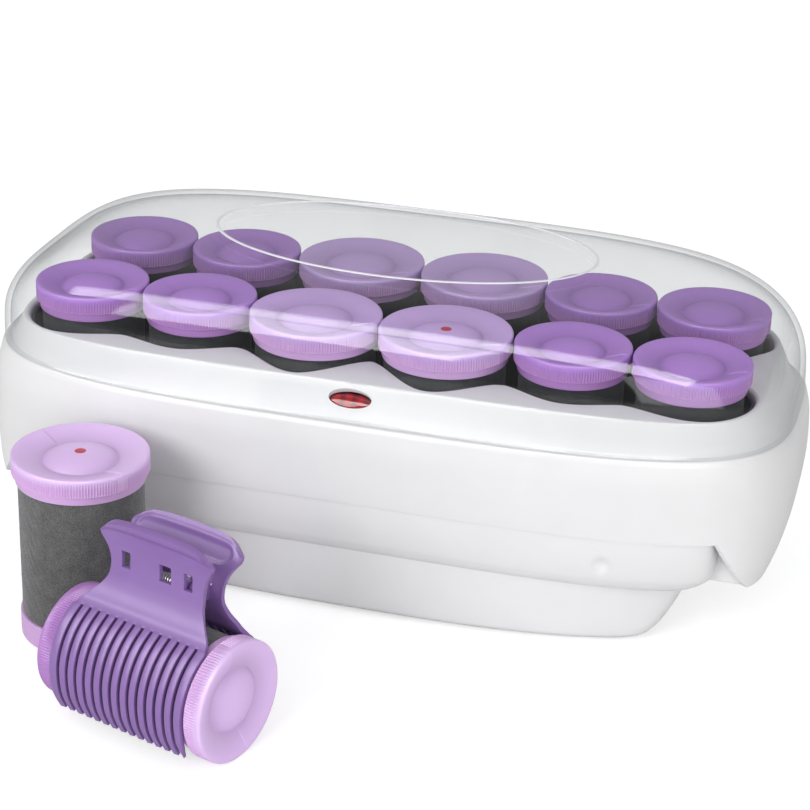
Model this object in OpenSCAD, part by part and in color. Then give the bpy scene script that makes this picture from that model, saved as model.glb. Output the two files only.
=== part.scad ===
// Heated hair roller set: a mains setter base with a clear lift-off lid, twelve
// rollers seated on heating posts, one roller standing beside the base and one
// lying roller held in its claw clip.
// Origin: on the table under the middle of the base. +X along the base, -Y front, +Z up.

/* [Rollers] */
// Tube diameter of a jumbo roller
jumbo_d = 38.1; // [37:0.1:38.4]
// Tube diameter of a super jumbo roller
super_d = 44.45; // [43:0.05:44.6]
// How far the cap stands out past the tube all round
cap_lip = 2; // [1.5:0.1:2.05]
// Roller length, from its bottom ring to its cap
roller_len = 70; // [66:1:74]
// Height of the knurled band of a cap
cap_band = 6.8; // [5:0.2:8]
// Height of the smooth flange below the knurled band
cap_flange = 3.2; // [2:0.2:4]
// Height of the bottom ring
ring_h = 9; // [7:0.5:10]
// How far the ring and the flange stand out past the tube
ring_lip = 0.7; // [0.4:0.1:0.8]
// Wall of the flocked tube
sleeve_wall = 1.6; // [1.2:0.1:2]
// Wall of the metal heat liner
liner_wall = 1; // [0.6:0.1:1.2]

/* [Roller layout] */
// Distance of the super jumbo rollers from the middle plane, along the base
super_x = 24.4; // [24.3:0.1:24.6]
// Distance of the inner jumbo rollers from the middle plane
inner_x = 70.3; // [70:0.1:70.4]
// Distance of the outermost jumbo rollers from the middle plane
outer_x = 113; // [112.8:0.1:113.2]
// Distance of the super jumbo rows from the centre line
super_y = 29; // [28:0.5:30]
// Distance of the jumbo rows from the centre line
jumbo_y = 26; // [25:0.5:26]
// Height of the seated rollers' bottoms above the table
seat_z = 35; // [35:0.5:36]

/* [Base] */
// Height of the ledge that the lid stands on
ledge_z = 80; // [79:0.5:81]
// Height of the lower edge of the front wall
skirt_z = 49; // [47:0.5:50]
// Wall thickness of the moulded shells
wall = 2.5; // [2:0.1:2.6]
// Half length of the belly between the two end wings
belly_x = 130.5; // [130:0.1:131]
// Distance of the wing's front and back ribs from the centre line
wing_y = 46; // [45:0.5:47]
// Length of the oval indicator lens
lens_len = 15.5; // [12:0.5:17]
// Height of the oval indicator lens along the slope
lens_w = 5.8; // [5:0.2:8]

/* [Heating] */
// Radius of a jumbo heating post
jumbo_post_r = 12; // [10:0.5:13]
// Radius of a super jumbo heating post
super_post_r = 15; // [13:0.5:16]
// Height of a post above the roller seat
post_h = 54; // [45:1:56]

/* [Lid] */
// Wall thickness of the clear lid
lid_wall = 2; // [1.6:0.1:2.2]

/* [Loose rollers] */
// Place of the standing roller on the table, along X
standing_x = -88; // [-92:1:-80]
// Place of the standing roller on the table, along Y
standing_y = -98; // [-102:1:-97]
// Place of the middle of the lying roller, along X
lying_x = -40; // [-40:1:-34]
// Place of the middle of the lying roller, along Y
lying_y = -150; // [-156:1:-150]
// Angle of the lying roller's axis from +X
lying_turn = -18; // [-20:1:-14]
// How far the clip is turned back round the lying roller, in degrees
clip_lean = 12; // [0:1:14]

/* [Clip] */
// Number of teeth on each jaw
teeth = 15; // [9:2:17]
// Distance from one tooth to the next
tooth_pitch = 3.7; // [3.4:0.05:3.7]
// Width of the slot between two teeth
slot_w = 1.5; // [1:0.1:1.8]
// Thickness of a jaw
jaw_t = 1.6; // [1.4:0.1:2]
// Height of the hinge pin above the roller's axis
pin_z = 31.5; // [31:0.5:33]
// Height of the handle's top above the roller's axis
handle_z = 48.5; // [45:0.5:50]
// Radius of the hinge pin
pin_r = 1.25; // [1:0.05:1.4]

/* [Hidden] */
$fn = 64;
outline_points = 72;
start_turn = 45;
end_density = 2.2;
trim_sharpness = 50;
running_gap = 0.05;

// Casing outlines at each level, from the bottom up: height, half length, half depth,
// squareness of the corners, and the half length at which the ends are trimmed off
free = 1000;
wall_levels = [[30, 147, 62, 6, free], [40, 150.5, 65.5, 4.6, free], [skirt_z, 152.3, 67.3, 4, free],
    [60, 153, 68.4, 3.7, free], [71, 152.5, 68.8, 3.6, free], [ledge_z, 150.6, 67.8, 3.5, free]];
bezel_levels = [[ledge_z, 147.4, 64.9, 3.5, free], [ledge_z + 4, 144.5, 62.3, 3.9, free],
    [ledge_z + 8, 142, 60.4, 4.4, free], [ledge_z + 11, 140, 59.2, 4.8, free],
    [ledge_z + 12.3, 138.8, 58.5, 5, free]];
lid_levels = [[ledge_z, 150, 67.5, 3.5, free], [94, 149, 66.6, 3.7, free], [104, 144.5, 65, 3.9, free],
    [110, 139, 63.4, 3.9, free], [115, 131.5, 61, 3.8, free], [118.5, 123, 57, 3.6, free],
    [120.5, 110, 49, 3.3, free], [121, 80, 32, 2.8, free]];
belly_levels = [[27, 145, 60, 4, belly_x - 10], [28.3, 146.5, 61.6, 4, belly_x - 6.5],
    [30, 147.5, 62.8, 4, belly_x - 3.5], [33, 149, 64.2, 4, belly_x - 0.5],
    [41, 150.5, 65.7, 4, belly_x], [skirt_z, 151, 66.3, 4, belly_x]];
foot_levels = [[1, 132, 57, 2.8, 104], [3.5, 134, 58.8, 2.8, 108.5], [9, 135, 59.4, 2.8, 113],
    [21, 135.5, 59.6, 2.8, 119], [27, 136, 59.6, 2.8, 121]];
belly_floor = 2;
foot_wall = 2.5;

// Well edge: points of the front edge, then the round end beside the last roller
edge_points = [[0, 39.5], [super_x, super_y + 27], [48, 43.5], [inner_x, jumbo_y + 24.8],
    [91.5, 46.5], [outer_x, jumbo_y + 24.5]];
end_rx = 23;
end_waist = 122;
peak_fullness = 0.6;
steps = 6;

// Outline of a casing at one level: a squarish oval whose ends are trimmed with soft corners
function outline(v, inset) = [for (i = [0:outline_points - 1])
    let (turn = start_turn + 360 * i / outline_points,
         t = atan2(sin(turn), end_density * cos(turn)),
         c = abs(cos(t)), s = abs(sin(t)),
         oval = pow(pow(c / (v[1] - inset), v[3]) + pow(s / (v[2] - inset), v[3]), -1 / v[3]),
         trim = (v[4] - inset) / max(c, 0.01),
         r = pow(pow(oval / trim, trim_sharpness) + 1, -1 / trim_sharpness) * oval)
    [r * cos(t), r * sin(t)]];
// Smooth half wave from point p towards point q, fuller round a roller than at the peak between two
function wave(p, q) = [for (i = [0:steps - 1])
    let (f = (1 - cos(180 * i / steps)) / 2, low = min(p.y, q.y), out = q.y > p.y ? f : 1 - f)
    [p.x + (q.x - p.x) * i / steps, low + abs(q.y - p.y) * pow(out, peak_fullness)]];
// A quarter of the well edge, from the middle of the front to the middle of the end
function well_quarter(inset) = concat(
    [for (k = [0:len(edge_points) - 2]) each wave(edge_points[k], edge_points[k + 1])],
    [for (a = [90:-15:0]) [outer_x + end_rx * cos(a), jumbo_y + 24.5 * sin(a)]],
    [for (y = [18, 9]) [end_waist + (outer_x + end_rx - end_waist) * (1 - cos(180 * y / jumbo_y)) / 2, y]],
    [[end_waist, 0]]);
function pulled_in(p, inset) = [p.x - inset * min(1, p.x / outer_x), p.y - inset * min(1, p.y / jumbo_y)];
function backwards(v) = [for (i = [len(v) - 1:-1:0]) v[i]];
// Whole well edge, inset all round
function well_edge(inset) =
    let (q = [for (p = well_quarter(0)) pulled_in(p, inset)], n = len(q),
         right = concat(q, [for (i = [n - 2:-1:0]) [q[i].x, -q[i].y]]),
         m = len(right))
    concat(right, [for (i = [m - 2:-1:1]) [-right[i].x, right[i].y]]);
function ellipse(a, b, n) = [for (i = [0:n - 1]) [a * cos(360 * i / n), b * sin(360 * i / n)]];

// Seats of the rollers, left to right in one row: x, distance from the centre line, is it super jumbo
seats = [[-outer_x, jumbo_y, false], [-inner_x, jumbo_y, false], [-super_x, super_y, true],
    [super_x, super_y, true], [inner_x, jumbo_y, false], [outer_x, jumbo_y, false]];
rows = [["front", -1], ["back", 1]];
ready_seat = 4;
function tube_d(is_super) = is_super ? super_d : jumbo_d;
function post_r(is_super) = is_super ? super_post_r : jumbo_post_r;
function bore_r(is_super) = post_r(is_super) + 0.5;

screw_x = 72;
screw_y = 40;
foot_pads = [[0, 0], [92, 30], [92, -30], [-92, 30], [-92, -30]];
tray_wall = 1;
plate_z = 32;
plate_t = 1.5;
lens_at = [-1.5, -59.8, 86];
lens_tilt = 38;
gland_x = 60;
gland_z = 14;

// Clip section, all as distance from the clip's middle plane and height above the roller's axis
clip_r = jumbo_d / 2 + ring_lip + 0.4;
jaw_low = -60;
jaw_high = 60;
slot_top = 17.5;
waist_u = 4.6;
knuckle_r = 2.9;
knuckle_w = 4;

dark_well = [0.06, 0.06, 0.10];
white_shell = [0.95, 0.95, 0.95];
mid_purple = [0.58, 0.42, 0.76];
light_lavender = [0.76, 0.63, 0.87];
flock_grey = [0.27, 0.27, 0.29];
bright_metal = [0.75, 0.75, 0.77];
signal_red = [0.65, 0.05, 0.05];

// Solid casing through a list of levels, as one ring of points a level
module casing(levels, inset) {
    n = outline_points;
    top = len(levels) - 1;
    points = [for (v = levels) each [for (p = outline(v, inset)) [p.x, p.y, v[0]]]];
    sides = [for (k = [0:top - 1], i = [0:n - 1])
        let (a = k * n + i, b = k * n + (i + 1) % n) each [[a, a + n, b], [b, a + n, b + n]]];
    polyhedron(points, concat([[for (i = [0:n - 1]) i]], [[for (i = [n - 1:-1:0]) top * n + i]], sides));
}

// Raise every level of a casing by dz
function raised(levels, dz) = [for (v = levels) concat([v[0] + dz], [for (k = [1:len(v) - 1]) v[k]])];

module at_lens() translate(lens_at) rotate([lens_tilt, 0, 0]) children();

// Everything between the two end wings below the skirt, seen from the front
module skirt_cut() {
    wing_top = belly_x + 0.5;
    wing_low = 142;
    rotate([90, 0, 0]) linear_extrude(200, center = true)
        polygon([[-wing_top, skirt_z], [wing_top, skirt_z], [wing_low, 30], [wing_low + 1, 20],
                 [-wing_low - 1, 20], [-wing_low, 30]]);
}

module upper_housing() color(white_shell) difference() {
    levels = concat(wall_levels, bezel_levels);
    casing(levels, 0);
    casing(raised(levels, -wall), wall);
    translate([0, 0, 40]) linear_extrude(80) polygon(well_edge(0));
    skirt_cut();
    at_lens() translate([0, 0, -8]) linear_extrude(16)
        polygon(ellipse(lens_len / 2 + 0.1, lens_w / 2 + 0.1, 32));
}

// Block that closes a wing from below, inside the end wall
module wing_block(inset) {
    intersection() {
        casing(wall_levels, wall + 0.1 + inset);
        for (s = [-1, 1]) translate([s * (belly_x + 5), 0, 30 + inset + (skirt_z - 30) / 2])
            cube([40, 2 * (wing_y - inset), skirt_z - 30], center = true);
    }
}

module lower_housing() color(white_shell) {
    boss_r = 4;
    boss_low = 6;
    difference() {
        union() {
            casing(belly_levels, 0);
            wing_block(0);
            for (x = [-screw_x, screw_x], y = [-screw_y, screw_y])
                translate([x, y, boss_low]) cylinder(r = boss_r, h = 28 - boss_low);
        }
        casing(raised(belly_levels, belly_floor), belly_floor);
        wing_block(belly_floor);
        translate([0, 0, 20]) linear_extrude(20) square([200, 62], center = true);
        for (x = [-screw_x, screw_x], y = [-screw_y, screw_y])
            translate([x, y, boss_low - 1]) cylinder(r = 1.55, h = 20);
    }
}

module base_foot() color(white_shell) difference() {
    casing(foot_levels, 0);
    difference() {
        casing(raised(foot_levels, foot_wall), foot_wall);
        for (x = [-screw_x, screw_x], y = [-screw_y, screw_y])
            translate([x, y, 0]) cylinder(r = 5.5, h = 5.9);
    }
    for (x = [-screw_x, screw_x], y = [-screw_y, screw_y]) translate([x, y, 0]) {
        cylinder(r = 1.8, h = 10);
        cylinder(r = 3.6, h = 4);
    }
    translate([gland_x, 50, gland_z]) rotate([-90, 0, 0]) cylinder(r = 5, h = 20);
}

module rubber_feet() color([0.15, 0.15, 0.16])
    for (p = foot_pads) translate([p.x, p.y, 0]) cylinder(r = 7, h = 1);

module well_tray() color(dark_well) difference() {
    translate([0, 0, seat_z - 1.5]) linear_extrude(91 - seat_z + 1.5) polygon(well_edge(0.5));
    translate([0, 0, seat_z]) linear_extrude(60) polygon(well_edge(0.5 + tray_wall));
    for (r = rows, s = seats) translate([s.x, r[1] * s.y, 20]) cylinder(r = post_r(s[2]) + 0.2, h = 30);
}

module heater_plate() color(bright_metal) difference() {
    translate([0, 0, plate_z]) linear_extrude(plate_t) polygon(well_edge(7));
    for (x = [-40, 40], y = [-8, 8]) translate([x, y, 20]) cylinder(r = 1.6, h = 20);
}

module heating_post(r) {
    base_z = plate_z + plate_t;
    top_z = seat_z + post_h;
    rotate_extrude() difference() {
        polygon([[0, base_z], [r, base_z], [r, top_z - 3], [r - 0.8, top_z - 1], [r - 3, top_z], [0, top_z]]);
        translate([-1, base_z - 1]) square([r - 1, top_z - base_z - 1]);
    }
}

module jumbo_heating_posts() color(bright_metal)
    for (r = rows, s = seats) if (!s[2]) translate([s.x, r[1] * s.y, 0]) heating_post(jumbo_post_r);

module super_heating_posts() color(bright_metal)
    for (r = rows, s = seats) if (s[2]) translate([s.x, r[1] * s.y, 0]) heating_post(super_post_r);

// Racetrack ribbon: two straight runs joined by half rings
module racetrack(half_len, r, w) {
    difference() {
        union() {
            square([2 * half_len, 2 * r], center = true);
            for (s = [-1, 1]) translate([s * half_len, 0]) circle(r = r);
        }
        square([2 * half_len, 2 * (r - w)], center = true);
        for (s = [-1, 1]) translate([s * half_len, 0]) circle(r = r - w);
    }
}

module heating_element() color([0.55, 0.45, 0.35]) translate([0, 0, plate_z - 2.5]) linear_extrude(2.5)
    racetrack(62, 28, 6);

module thermostat() color(bright_metal) translate([30, 0, 0]) {
    translate([0, 0, plate_z - 7]) cylinder(r = 8, h = 7);
    for (s = [-1, 1]) translate([s * 4, 0, plate_z - 11]) cube([1.2, 6, 8], center = true);
}

module thermal_fuse() color([0.85, 0.80, 0.65]) translate([-34, 0, plate_z - 2.4]) rotate([0, 90, 0]) {
    cylinder(r = 2.2, h = 14, center = true);
    cylinder(r = 0.5, h = 44, center = true);
}

module terminal_block() color([0.9, 0.88, 0.8]) translate([18, 34, 3.5]) difference() {
    cube([34, 14, 14]);
    for (i = [0:2]) translate([6 + 11 * i, 7, 4]) cylinder(r = 2.2, h = 20);
}

module indicator_lens() color(signal_red) at_lens() {
    translate([0, 0, -3.4]) linear_extrude(4.2) polygon(ellipse(lens_len / 2, lens_w / 2, 32));
}

module indicator_lamp() color([0.9, 0.5, 0.35]) at_lens() {
    translate([0, 0, -14]) cylinder(r = 2.6, h = 9);
    translate([0, 0, -5]) sphere(r = 1.5);
}

module housing_screws() color(bright_metal)
    for (x = [-screw_x, screw_x], y = [-screw_y, screw_y]) translate([x, y, 0]) {
        cylinder(r = 1.5, h = 22);
        translate([0, 0, 1.6]) cylinder(r = 3.2, h = 2.4);
    }

module cord_gland() color([0.9, 0.9, 0.9]) translate([gland_x, 0, gland_z]) rotate([-90, 0, 0]) difference() {
    union() {
        translate([0, 0, 52]) cylinder(r = 4.9, h = 7);
        translate([0, 0, 58.4]) cylinder(r1 = 7, r2 = 5.4, h = 7);
        translate([0, 0, 50.6]) cylinder(r = 6.4, h = 2.8);
    }
    translate([0, 0, 50]) cylinder(r = 3, h = 20);
}

module lid() color([0.85, 0.9, 0.92, 0.35]) difference() {
    casing(lid_levels, 0);
    casing(raised(lid_levels, -lid_wall), lid_wall);
}

// Flocked tube between the bottom ring and the cap
module sleeve(d) color(flock_grey) translate([0, 0, ring_h]) difference() {
    h = roller_len - ring_h - cap_band - cap_flange;
    cylinder(r = d / 2, h = h);
    translate([0, 0, -1]) cylinder(r = d / 2 - sleeve_wall, h = h + 2);
}

// Metal liner that takes the heat from the post
module liner(bore) color(bright_metal) translate([0, 0, 0.5]) difference() {
    h = roller_len - cap_band;
    cylinder(r = bore + liner_wall, h = h);
    translate([0, 0, -1]) cylinder(r = bore, h = h + 2);
}

// Cap with a dished top, a low dome in its middle and a hollow underside
module cap(d, tint) color(tint) rotate_extrude() {
    r = d / 2 + cap_lip;
    dome_r = 0.52 * r;
    dish = roller_len - 1.3;
    flange_z = roller_len - cap_band - cap_flange;
    band_z = roller_len - cap_band;
    inner = d / 2 - sleeve_wall;
    polygon(concat(
        [[inner, flange_z], [d / 2 + ring_lip, flange_z], [d / 2 + ring_lip, band_z], [r, band_z],
         [r, roller_len - 1.2], [r - 0.35, roller_len - 0.35], [r - 1.2, roller_len],
         [r - 2.4, roller_len - 0.1], [dome_r + 1, dish], [dome_r, dish]],
        [for (k = [4:-1:0]) [dome_r * k / 5, roller_len - 1.3 * pow(k / 5, 2) - 0.1]],
        [[0, roller_len - 3], [inner, roller_len - 3.6]]));
}

// Ring round the open end
module bottom_ring(d, bore, tint) color(tint) difference() {
    cylinder(r = d / 2 + ring_lip, h = ring_h);
    translate([0, 0, -1]) cylinder(r = bore + liner_wall + running_gap, h = ring_h + 2);
}

module ready_spot(d) color(signal_red) translate([0, 0, roller_len - 0.1]) cylinder(r = 2, h = 0.3);

module seated_sleeve(i, side) {
    s = seats[i - 1];
    translate([s.x, side * s.y, seat_z]) {
        sleeve(tube_d(s[2]));
        liner(bore_r(s[2]));
    }
}

module seated_caps(i, side) {
    s = seats[i - 1];
    tint = s[2] ? light_lavender : mid_purple;
    translate([s.x, side * s.y, seat_z]) {
        cap(tube_d(s[2]), tint);
        bottom_ring(tube_d(s[2]), bore_r(s[2]), tint);
    }
}

module ready_dot() translate([seats[ready_seat - 1].x, -seats[ready_seat - 1].y, seat_z])
    ready_spot(super_d);

module at_standing() translate([standing_x, standing_y, 0]) children();

// Axis of the lying roller along +X of this frame, its cap towards +X
module at_lying() translate([lying_x, lying_y, jumbo_d / 2 + cap_lip]) rotate([0, 0, lying_turn]) children();
module at_clip() at_lying() rotate([-clip_lean, 0, 0]) children();
module along_lying() at_lying() rotate([0, 90, 0]) translate([0, 0, -roller_len / 2]) children();

// Section of a jaw: round the roller from the tooth tips, up to the waist and out to the handle
function jaw_line() = concat(
    [for (a = [jaw_low:6:jaw_high]) [(clip_r + jaw_t / 2) * cos(a), (clip_r + jaw_t / 2) * sin(a)]],
    [[8.6, 21.5], [6.6, 25], [waist_u + 0.6, 28.5], [waist_u + 0.4, pin_z], [waist_u + 0.8, 35.5],
     [waist_u + 1.9, 40], [waist_u + 3.6, 44.5], [waist_u + 5.1, handle_z - 1], [waist_u + 5.6, handle_z]]);
function side_of(v, k) = let (a = v[max(0, k - 1)], b = v[min(len(v) - 1, k + 1)], d = b - a)
    [d.y, -d.x] / norm(d);
function thick_line(v, t) = concat(
    [for (k = [0:len(v) - 1]) v[k] + side_of(v, k) * t / 2],
    [for (k = [len(v) - 1:-1:0]) v[k] - side_of(v, k) * t / 2]);

// Outline of a jaw seen from the front: half width at each height above the roller's axis
jaw_face = [[27.8, -30], [27.8, 14], [27, 18], [24.5, 21.5], [21.5, 25], [19.6, 29], [19.3, 33],
    [19.9, 37], [21.4, 41], [22.9, 44.5], [23.2, 46.2], [22.2, handle_z - 0.7], [19.2, handle_z + 0.4],
    [0, handle_z + 1.4]];
// Windows of a jaw, above the hinge pin: place across it and width
windows = [[-13, 3.6], [3.5, 4.8], [13, 3.6]];
window_h = 6.2;

module jaw_plate() difference() {
    intersection() {
        rotate([90, 0, 90]) linear_extrude(80, center = true) polygon(thick_line(jaw_line(), jaw_t));
        rotate([90, 0, 0]) linear_extrude(80, center = true)
            polygon(concat(jaw_face, backwards([for (p = jaw_face) [-p.x, p.y]])));
    }
    for (k = [1:teeth - 1])
        translate([(k - teeth / 2) * tooth_pitch - slot_w / 2, -1, slot_top - 50]) cube([slot_w, 50, 50]);
    for (w = windows) translate([w[0] - w[1] / 2, -1, pin_z + 1.2]) cube([w[1], 20, window_h]);
}

// Ears that carry the hinge pin, reaching from the waist to the clip's middle plane
module knuckles(places, bore) {
    for (x = places) difference() {
        union() {
            translate([x, 0, pin_z]) rotate([0, 90, 0]) cylinder(r = knuckle_r, h = knuckle_w, center = true);
            translate([x - knuckle_w / 2, 0, pin_z - 1.6]) cube([knuckle_w, waist_u + 0.2, 3.2]);
        }
        translate([x, 0, pin_z]) rotate([0, 90, 0]) cylinder(r = bore, h = knuckle_w + 2, center = true);
    }
}

module clip_front_jaw() color(mid_purple) at_clip() mirror([0, 1, 0]) {
    jaw_plate();
    knuckles([-8.3, 8.3], pin_r + running_gap);
}

module clip_rear_jaw() color(mid_purple) at_clip() {
    jaw_plate();
    knuckles([-12.6, 12.6], pin_r + running_gap);
}

module clip_pin() color(bright_metal) at_clip() translate([0, 0, pin_z]) rotate([0, 90, 0])
    cylinder(r = pin_r, h = 31, center = true);

// Torsion spring: its coil round the pin and a leg up each handle
module clip_spring() color(bright_metal) at_clip() translate([0, 0, pin_z]) {
    rotate([0, 90, 0]) difference() {
        cylinder(r = 2.6, h = 9, center = true);
        cylinder(r = pin_r + 0.2, h = 10, center = true);
    }
    for (s = [-1, 1]) translate([s * 4, s * 2.1, 0]) rotate([-s * 12, 0, 0]) cylinder(r = 0.45, h = 6.5);
}

upper_housing();
lower_housing();
base_foot();
rubber_feet();
well_tray();
heater_plate();
jumbo_heating_posts();
super_heating_posts();
heating_element();
thermostat();
thermal_fuse();
terminal_block();
indicator_lens();
indicator_lamp();
housing_screws();
cord_gland();
lid();
for (r = rows, i = [1:6]) {
    seated_sleeve(i, r[1]);
    seated_caps(i, r[1]);
}
ready_dot();
at_standing() sleeve(super_d);  // standing_sleeve
at_standing() liner(bore_r(true));  // standing_liner
at_standing() cap(super_d, light_lavender);  // standing_cap
at_standing() bottom_ring(super_d, bore_r(true), light_lavender);  // standing_ring
at_standing() ready_spot(super_d);  // standing_ready_dot
along_lying() sleeve(jumbo_d);  // clipped_sleeve
along_lying() liner(bore_r(false));  // clipped_liner
along_lying() cap(jumbo_d, mid_purple);  // clipped_cap
along_lying() bottom_ring(jumbo_d, bore_r(false), mid_purple);  // clipped_ring
clip_front_jaw();
clip_rear_jaw();
clip_pin();
clip_spring();
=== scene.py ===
"""Looks of the heated hair roller set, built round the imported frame.

Each visible shell, cap, sleeve, jaw and fitting is a detailed mesh that stands for its CAD node.
Sizes are in millimetres and repeat the driving dimensions of the CAD source.
"""

import math
import random

import bmesh
import bpy
import numpy as np
from mathutils import Matrix, Vector


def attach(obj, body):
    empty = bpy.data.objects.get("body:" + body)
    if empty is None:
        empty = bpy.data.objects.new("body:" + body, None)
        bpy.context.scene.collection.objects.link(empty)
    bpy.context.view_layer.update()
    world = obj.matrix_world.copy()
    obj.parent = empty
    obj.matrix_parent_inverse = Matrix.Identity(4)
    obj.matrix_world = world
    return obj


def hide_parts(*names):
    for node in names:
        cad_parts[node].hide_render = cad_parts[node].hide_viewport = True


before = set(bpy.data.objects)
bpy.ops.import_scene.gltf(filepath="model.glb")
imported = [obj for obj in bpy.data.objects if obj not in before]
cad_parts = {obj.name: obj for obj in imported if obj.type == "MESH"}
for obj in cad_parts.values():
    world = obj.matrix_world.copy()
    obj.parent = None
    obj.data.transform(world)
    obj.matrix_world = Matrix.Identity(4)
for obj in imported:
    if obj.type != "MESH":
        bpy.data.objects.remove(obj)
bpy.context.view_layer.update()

MM = 0.001
TURN = 2 * math.pi
WELD = 2e-6
# The camera's azimuth, elevation and roll in degrees, its lens, the point it faces and its distance
CAMERA_ANGLES, CAMERA_LENS = (14.861, 24.448, 1.971), 96.85
CAMERA_AIM, CAMERA_AWAY = (2.433, 0, 59.27), 829.0
# Strength of the light from all round, for plain rays and for glossy ones
WORLD_LEVELS = (0.57, 0.28)

# -------- sizes shared with the CAD source

JUMBO_D, SUPER_D = 38.1, 44.45
CAP_LIP, RING_LIP = 2.0, 0.7
ROLLER_LEN, CAP_BAND, CAP_FLANGE, RING_H = 70.0, 6.8, 3.2, 9.0
SLEEVE_WALL, LINER_WALL = 1.6, 1.0
DOME_SHARE, DISH = 0.54, 2.8
JUMBO_POST_R, SUPER_POST_R = 12.0, 15.0
JUMBO_BORE, SUPER_BORE = JUMBO_POST_R + 0.5, SUPER_POST_R + 0.5
SUPER_X, INNER_X, OUTER_X = 24.4, 70.3, 113.0
SUPER_Y, JUMBO_Y = 29.0, 26.0
SEAT_Z, LEDGE_Z, SKIRT_Z = 35.0, 80.0, 49.0
WALL, LID_WALL = 2.5, 2.0
BELLY_X, WING_Y, WING_DROP = 130.5, 46.0, 19 / 11
LENS_LEN, LENS_W, LENS_AT, LENS_TILT = 15.5, 5.8, (-1.5, -59.8, 86.0), 38.0
SCREWS = [(x, y) for x in (-72.0, 72.0) for y in (-40.0, 40.0)]
GLAND_X, GLAND_Z = 60.0, 14.0
STANDING_AT = (-88.0, -98.0)
LYING_AT, LYING_TURN = (-40.0, -150.0), -18.0
CLIP_LEAN = 12.0
TEETH, TOOTH_PITCH, SLOT_W, SLOT_TOP = 15, 3.7, 1.25, 17.5
JAW_T, PIN_Z, HANDLE_Z = 1.6, 31.5, 48.5
WINDOWS, WINDOW_H = [(-13.0, 3.6), (3.5, 4.8), (13.0, 3.6)], 6.2
CLIP_R = JUMBO_D / 2 + RING_LIP + 0.4
LYING_Z = JUMBO_D / 2 + CAP_LIP
JAW_HALF, LINE_HALF = 27.8, 700  # half a jaw's width, and half the points of its section

# Casing levels: height, half length, half depth, squareness, half length of the trimmed ends
WALL_LEVELS = [
    (30, 147, 62, 6), (40, 150.5, 65.5, 4.6), (49, 152.3, 67.3, 4),
    (60, 153, 68.4, 3.7), (71, 152.5, 68.8, 3.6), (80, 150.6, 67.8, 3.5),
]
BEZEL_LEVELS = [
    (80, 147.4, 64.9, 3.5), (84, 144.5, 62.3, 3.9), (88, 142, 60.4, 4.4),
    (91, 140, 59.2, 4.8), (92.3, 138.8, 58.5, 5), (92.8, 134, 54, 5), (93.1, 120, 42, 4.6), (93.2, 110, 34, 4),
]
LID_LEVELS = [
    (80, 150, 67.5, 3.5), (94, 149, 66.6, 3.7), (104, 144.5, 65, 3.9), (110, 139, 63.4, 3.9),
    (115, 131.5, 61, 3.8), (118.5, 123, 57, 3.6), (120.5, 110, 49, 3.3), (121, 80, 32, 2.8),
    (121.1, 50, 20, 2.6), (121.12, 20, 8, 2.4),
]
BELLY_LEVELS = [
    (27, 145, 60, 4, 120.5), (28.3, 146.5, 61.6, 4, 124), (30, 147.5, 62.8, 4, 127),
    (33, 149, 64.2, 4, 130), (41, 150.5, 65.7, 4, 130.5), (49, 151, 66.3, 4, 130.5),
]
FOOT_LEVELS = [
    (1, 132, 57, 2.8, 104), (3.5, 134, 58.8, 2.8, 108.5), (9, 135, 59.4, 2.8, 113),
    (21, 135.5, 59.6, 2.8, 119), (27, 136, 59.6, 2.8, 121),
]
# The edge of the well in plan, and the softer line that its rolled lip follows
EDGE_POINTS = [
    (0, 39.5), (SUPER_X, SUPER_Y + 27), (48, 43.5), (INNER_X, JUMBO_Y + 24.8),
    (91.5, 46.5), (OUTER_X, JUMBO_Y + 24.5),
]
LIP_POINTS = [
    (0, 38.2), (SUPER_X, SUPER_Y + 27), (48, 42.8), (INNER_X, JUMBO_Y + 25.2),
    (91.5, 46.0), (OUTER_X, JUMBO_Y + 24.5),
]
END_RX, END_RY, END_WAIST = 23.0, 24.5, 122.0
EDGE_FULLNESS, LIP_FULLNESS = 0.6, 0.72
TRIM_SHARPNESS = 50

SEATS = [
    (-OUTER_X, JUMBO_Y, False), (-INNER_X, JUMBO_Y, False), (-SUPER_X, SUPER_Y, True),
    (SUPER_X, SUPER_Y, True), (INNER_X, JUMBO_Y, False), (OUTER_X, JUMBO_Y, False),
]


# -------- camera, lights and floor

def make_camera():
    """A camera at the photograph's viewing angle."""
    azimuth, elevation, roll = (math.radians(a) for a in CAMERA_ANGLES)
    level = math.cos(elevation)
    back = Vector((math.sin(azimuth) * level, -math.cos(azimuth) * level, math.sin(elevation)))
    right = Vector((math.cos(azimuth), math.sin(azimuth), 0))
    up = back.cross(right)
    across = math.cos(roll) * right + math.sin(roll) * up
    upward = math.cos(roll) * up - math.sin(roll) * right
    data = bpy.data.cameras.new("camera")
    data.lens, data.sensor_width = CAMERA_LENS, 36
    camera = bpy.data.objects.new("camera", data)
    turn = Matrix((across, upward, back)).transposed().to_4x4()
    camera.matrix_world = Matrix.Translation((Vector(CAMERA_AIM) + back * CAMERA_AWAY) * MM) @ turn
    bpy.context.scene.collection.objects.link(camera)
    bpy.context.scene.camera = camera


def add_softbox(name, place, target, size, power):
    """A rectangular area light at place, in metres, that faces target."""
    data = bpy.data.lights.new(name, "AREA")
    data.shape = "RECTANGLE"
    data.size, data.size_y = size
    data.energy = power
    light = bpy.data.objects.new(name, data)
    light.location = place
    direction = Vector(target) - Vector(place)
    light.rotation_euler = direction.to_track_quat("-Z", "Y").to_euler()
    bpy.context.scene.collection.objects.link(light)
    return light


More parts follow.
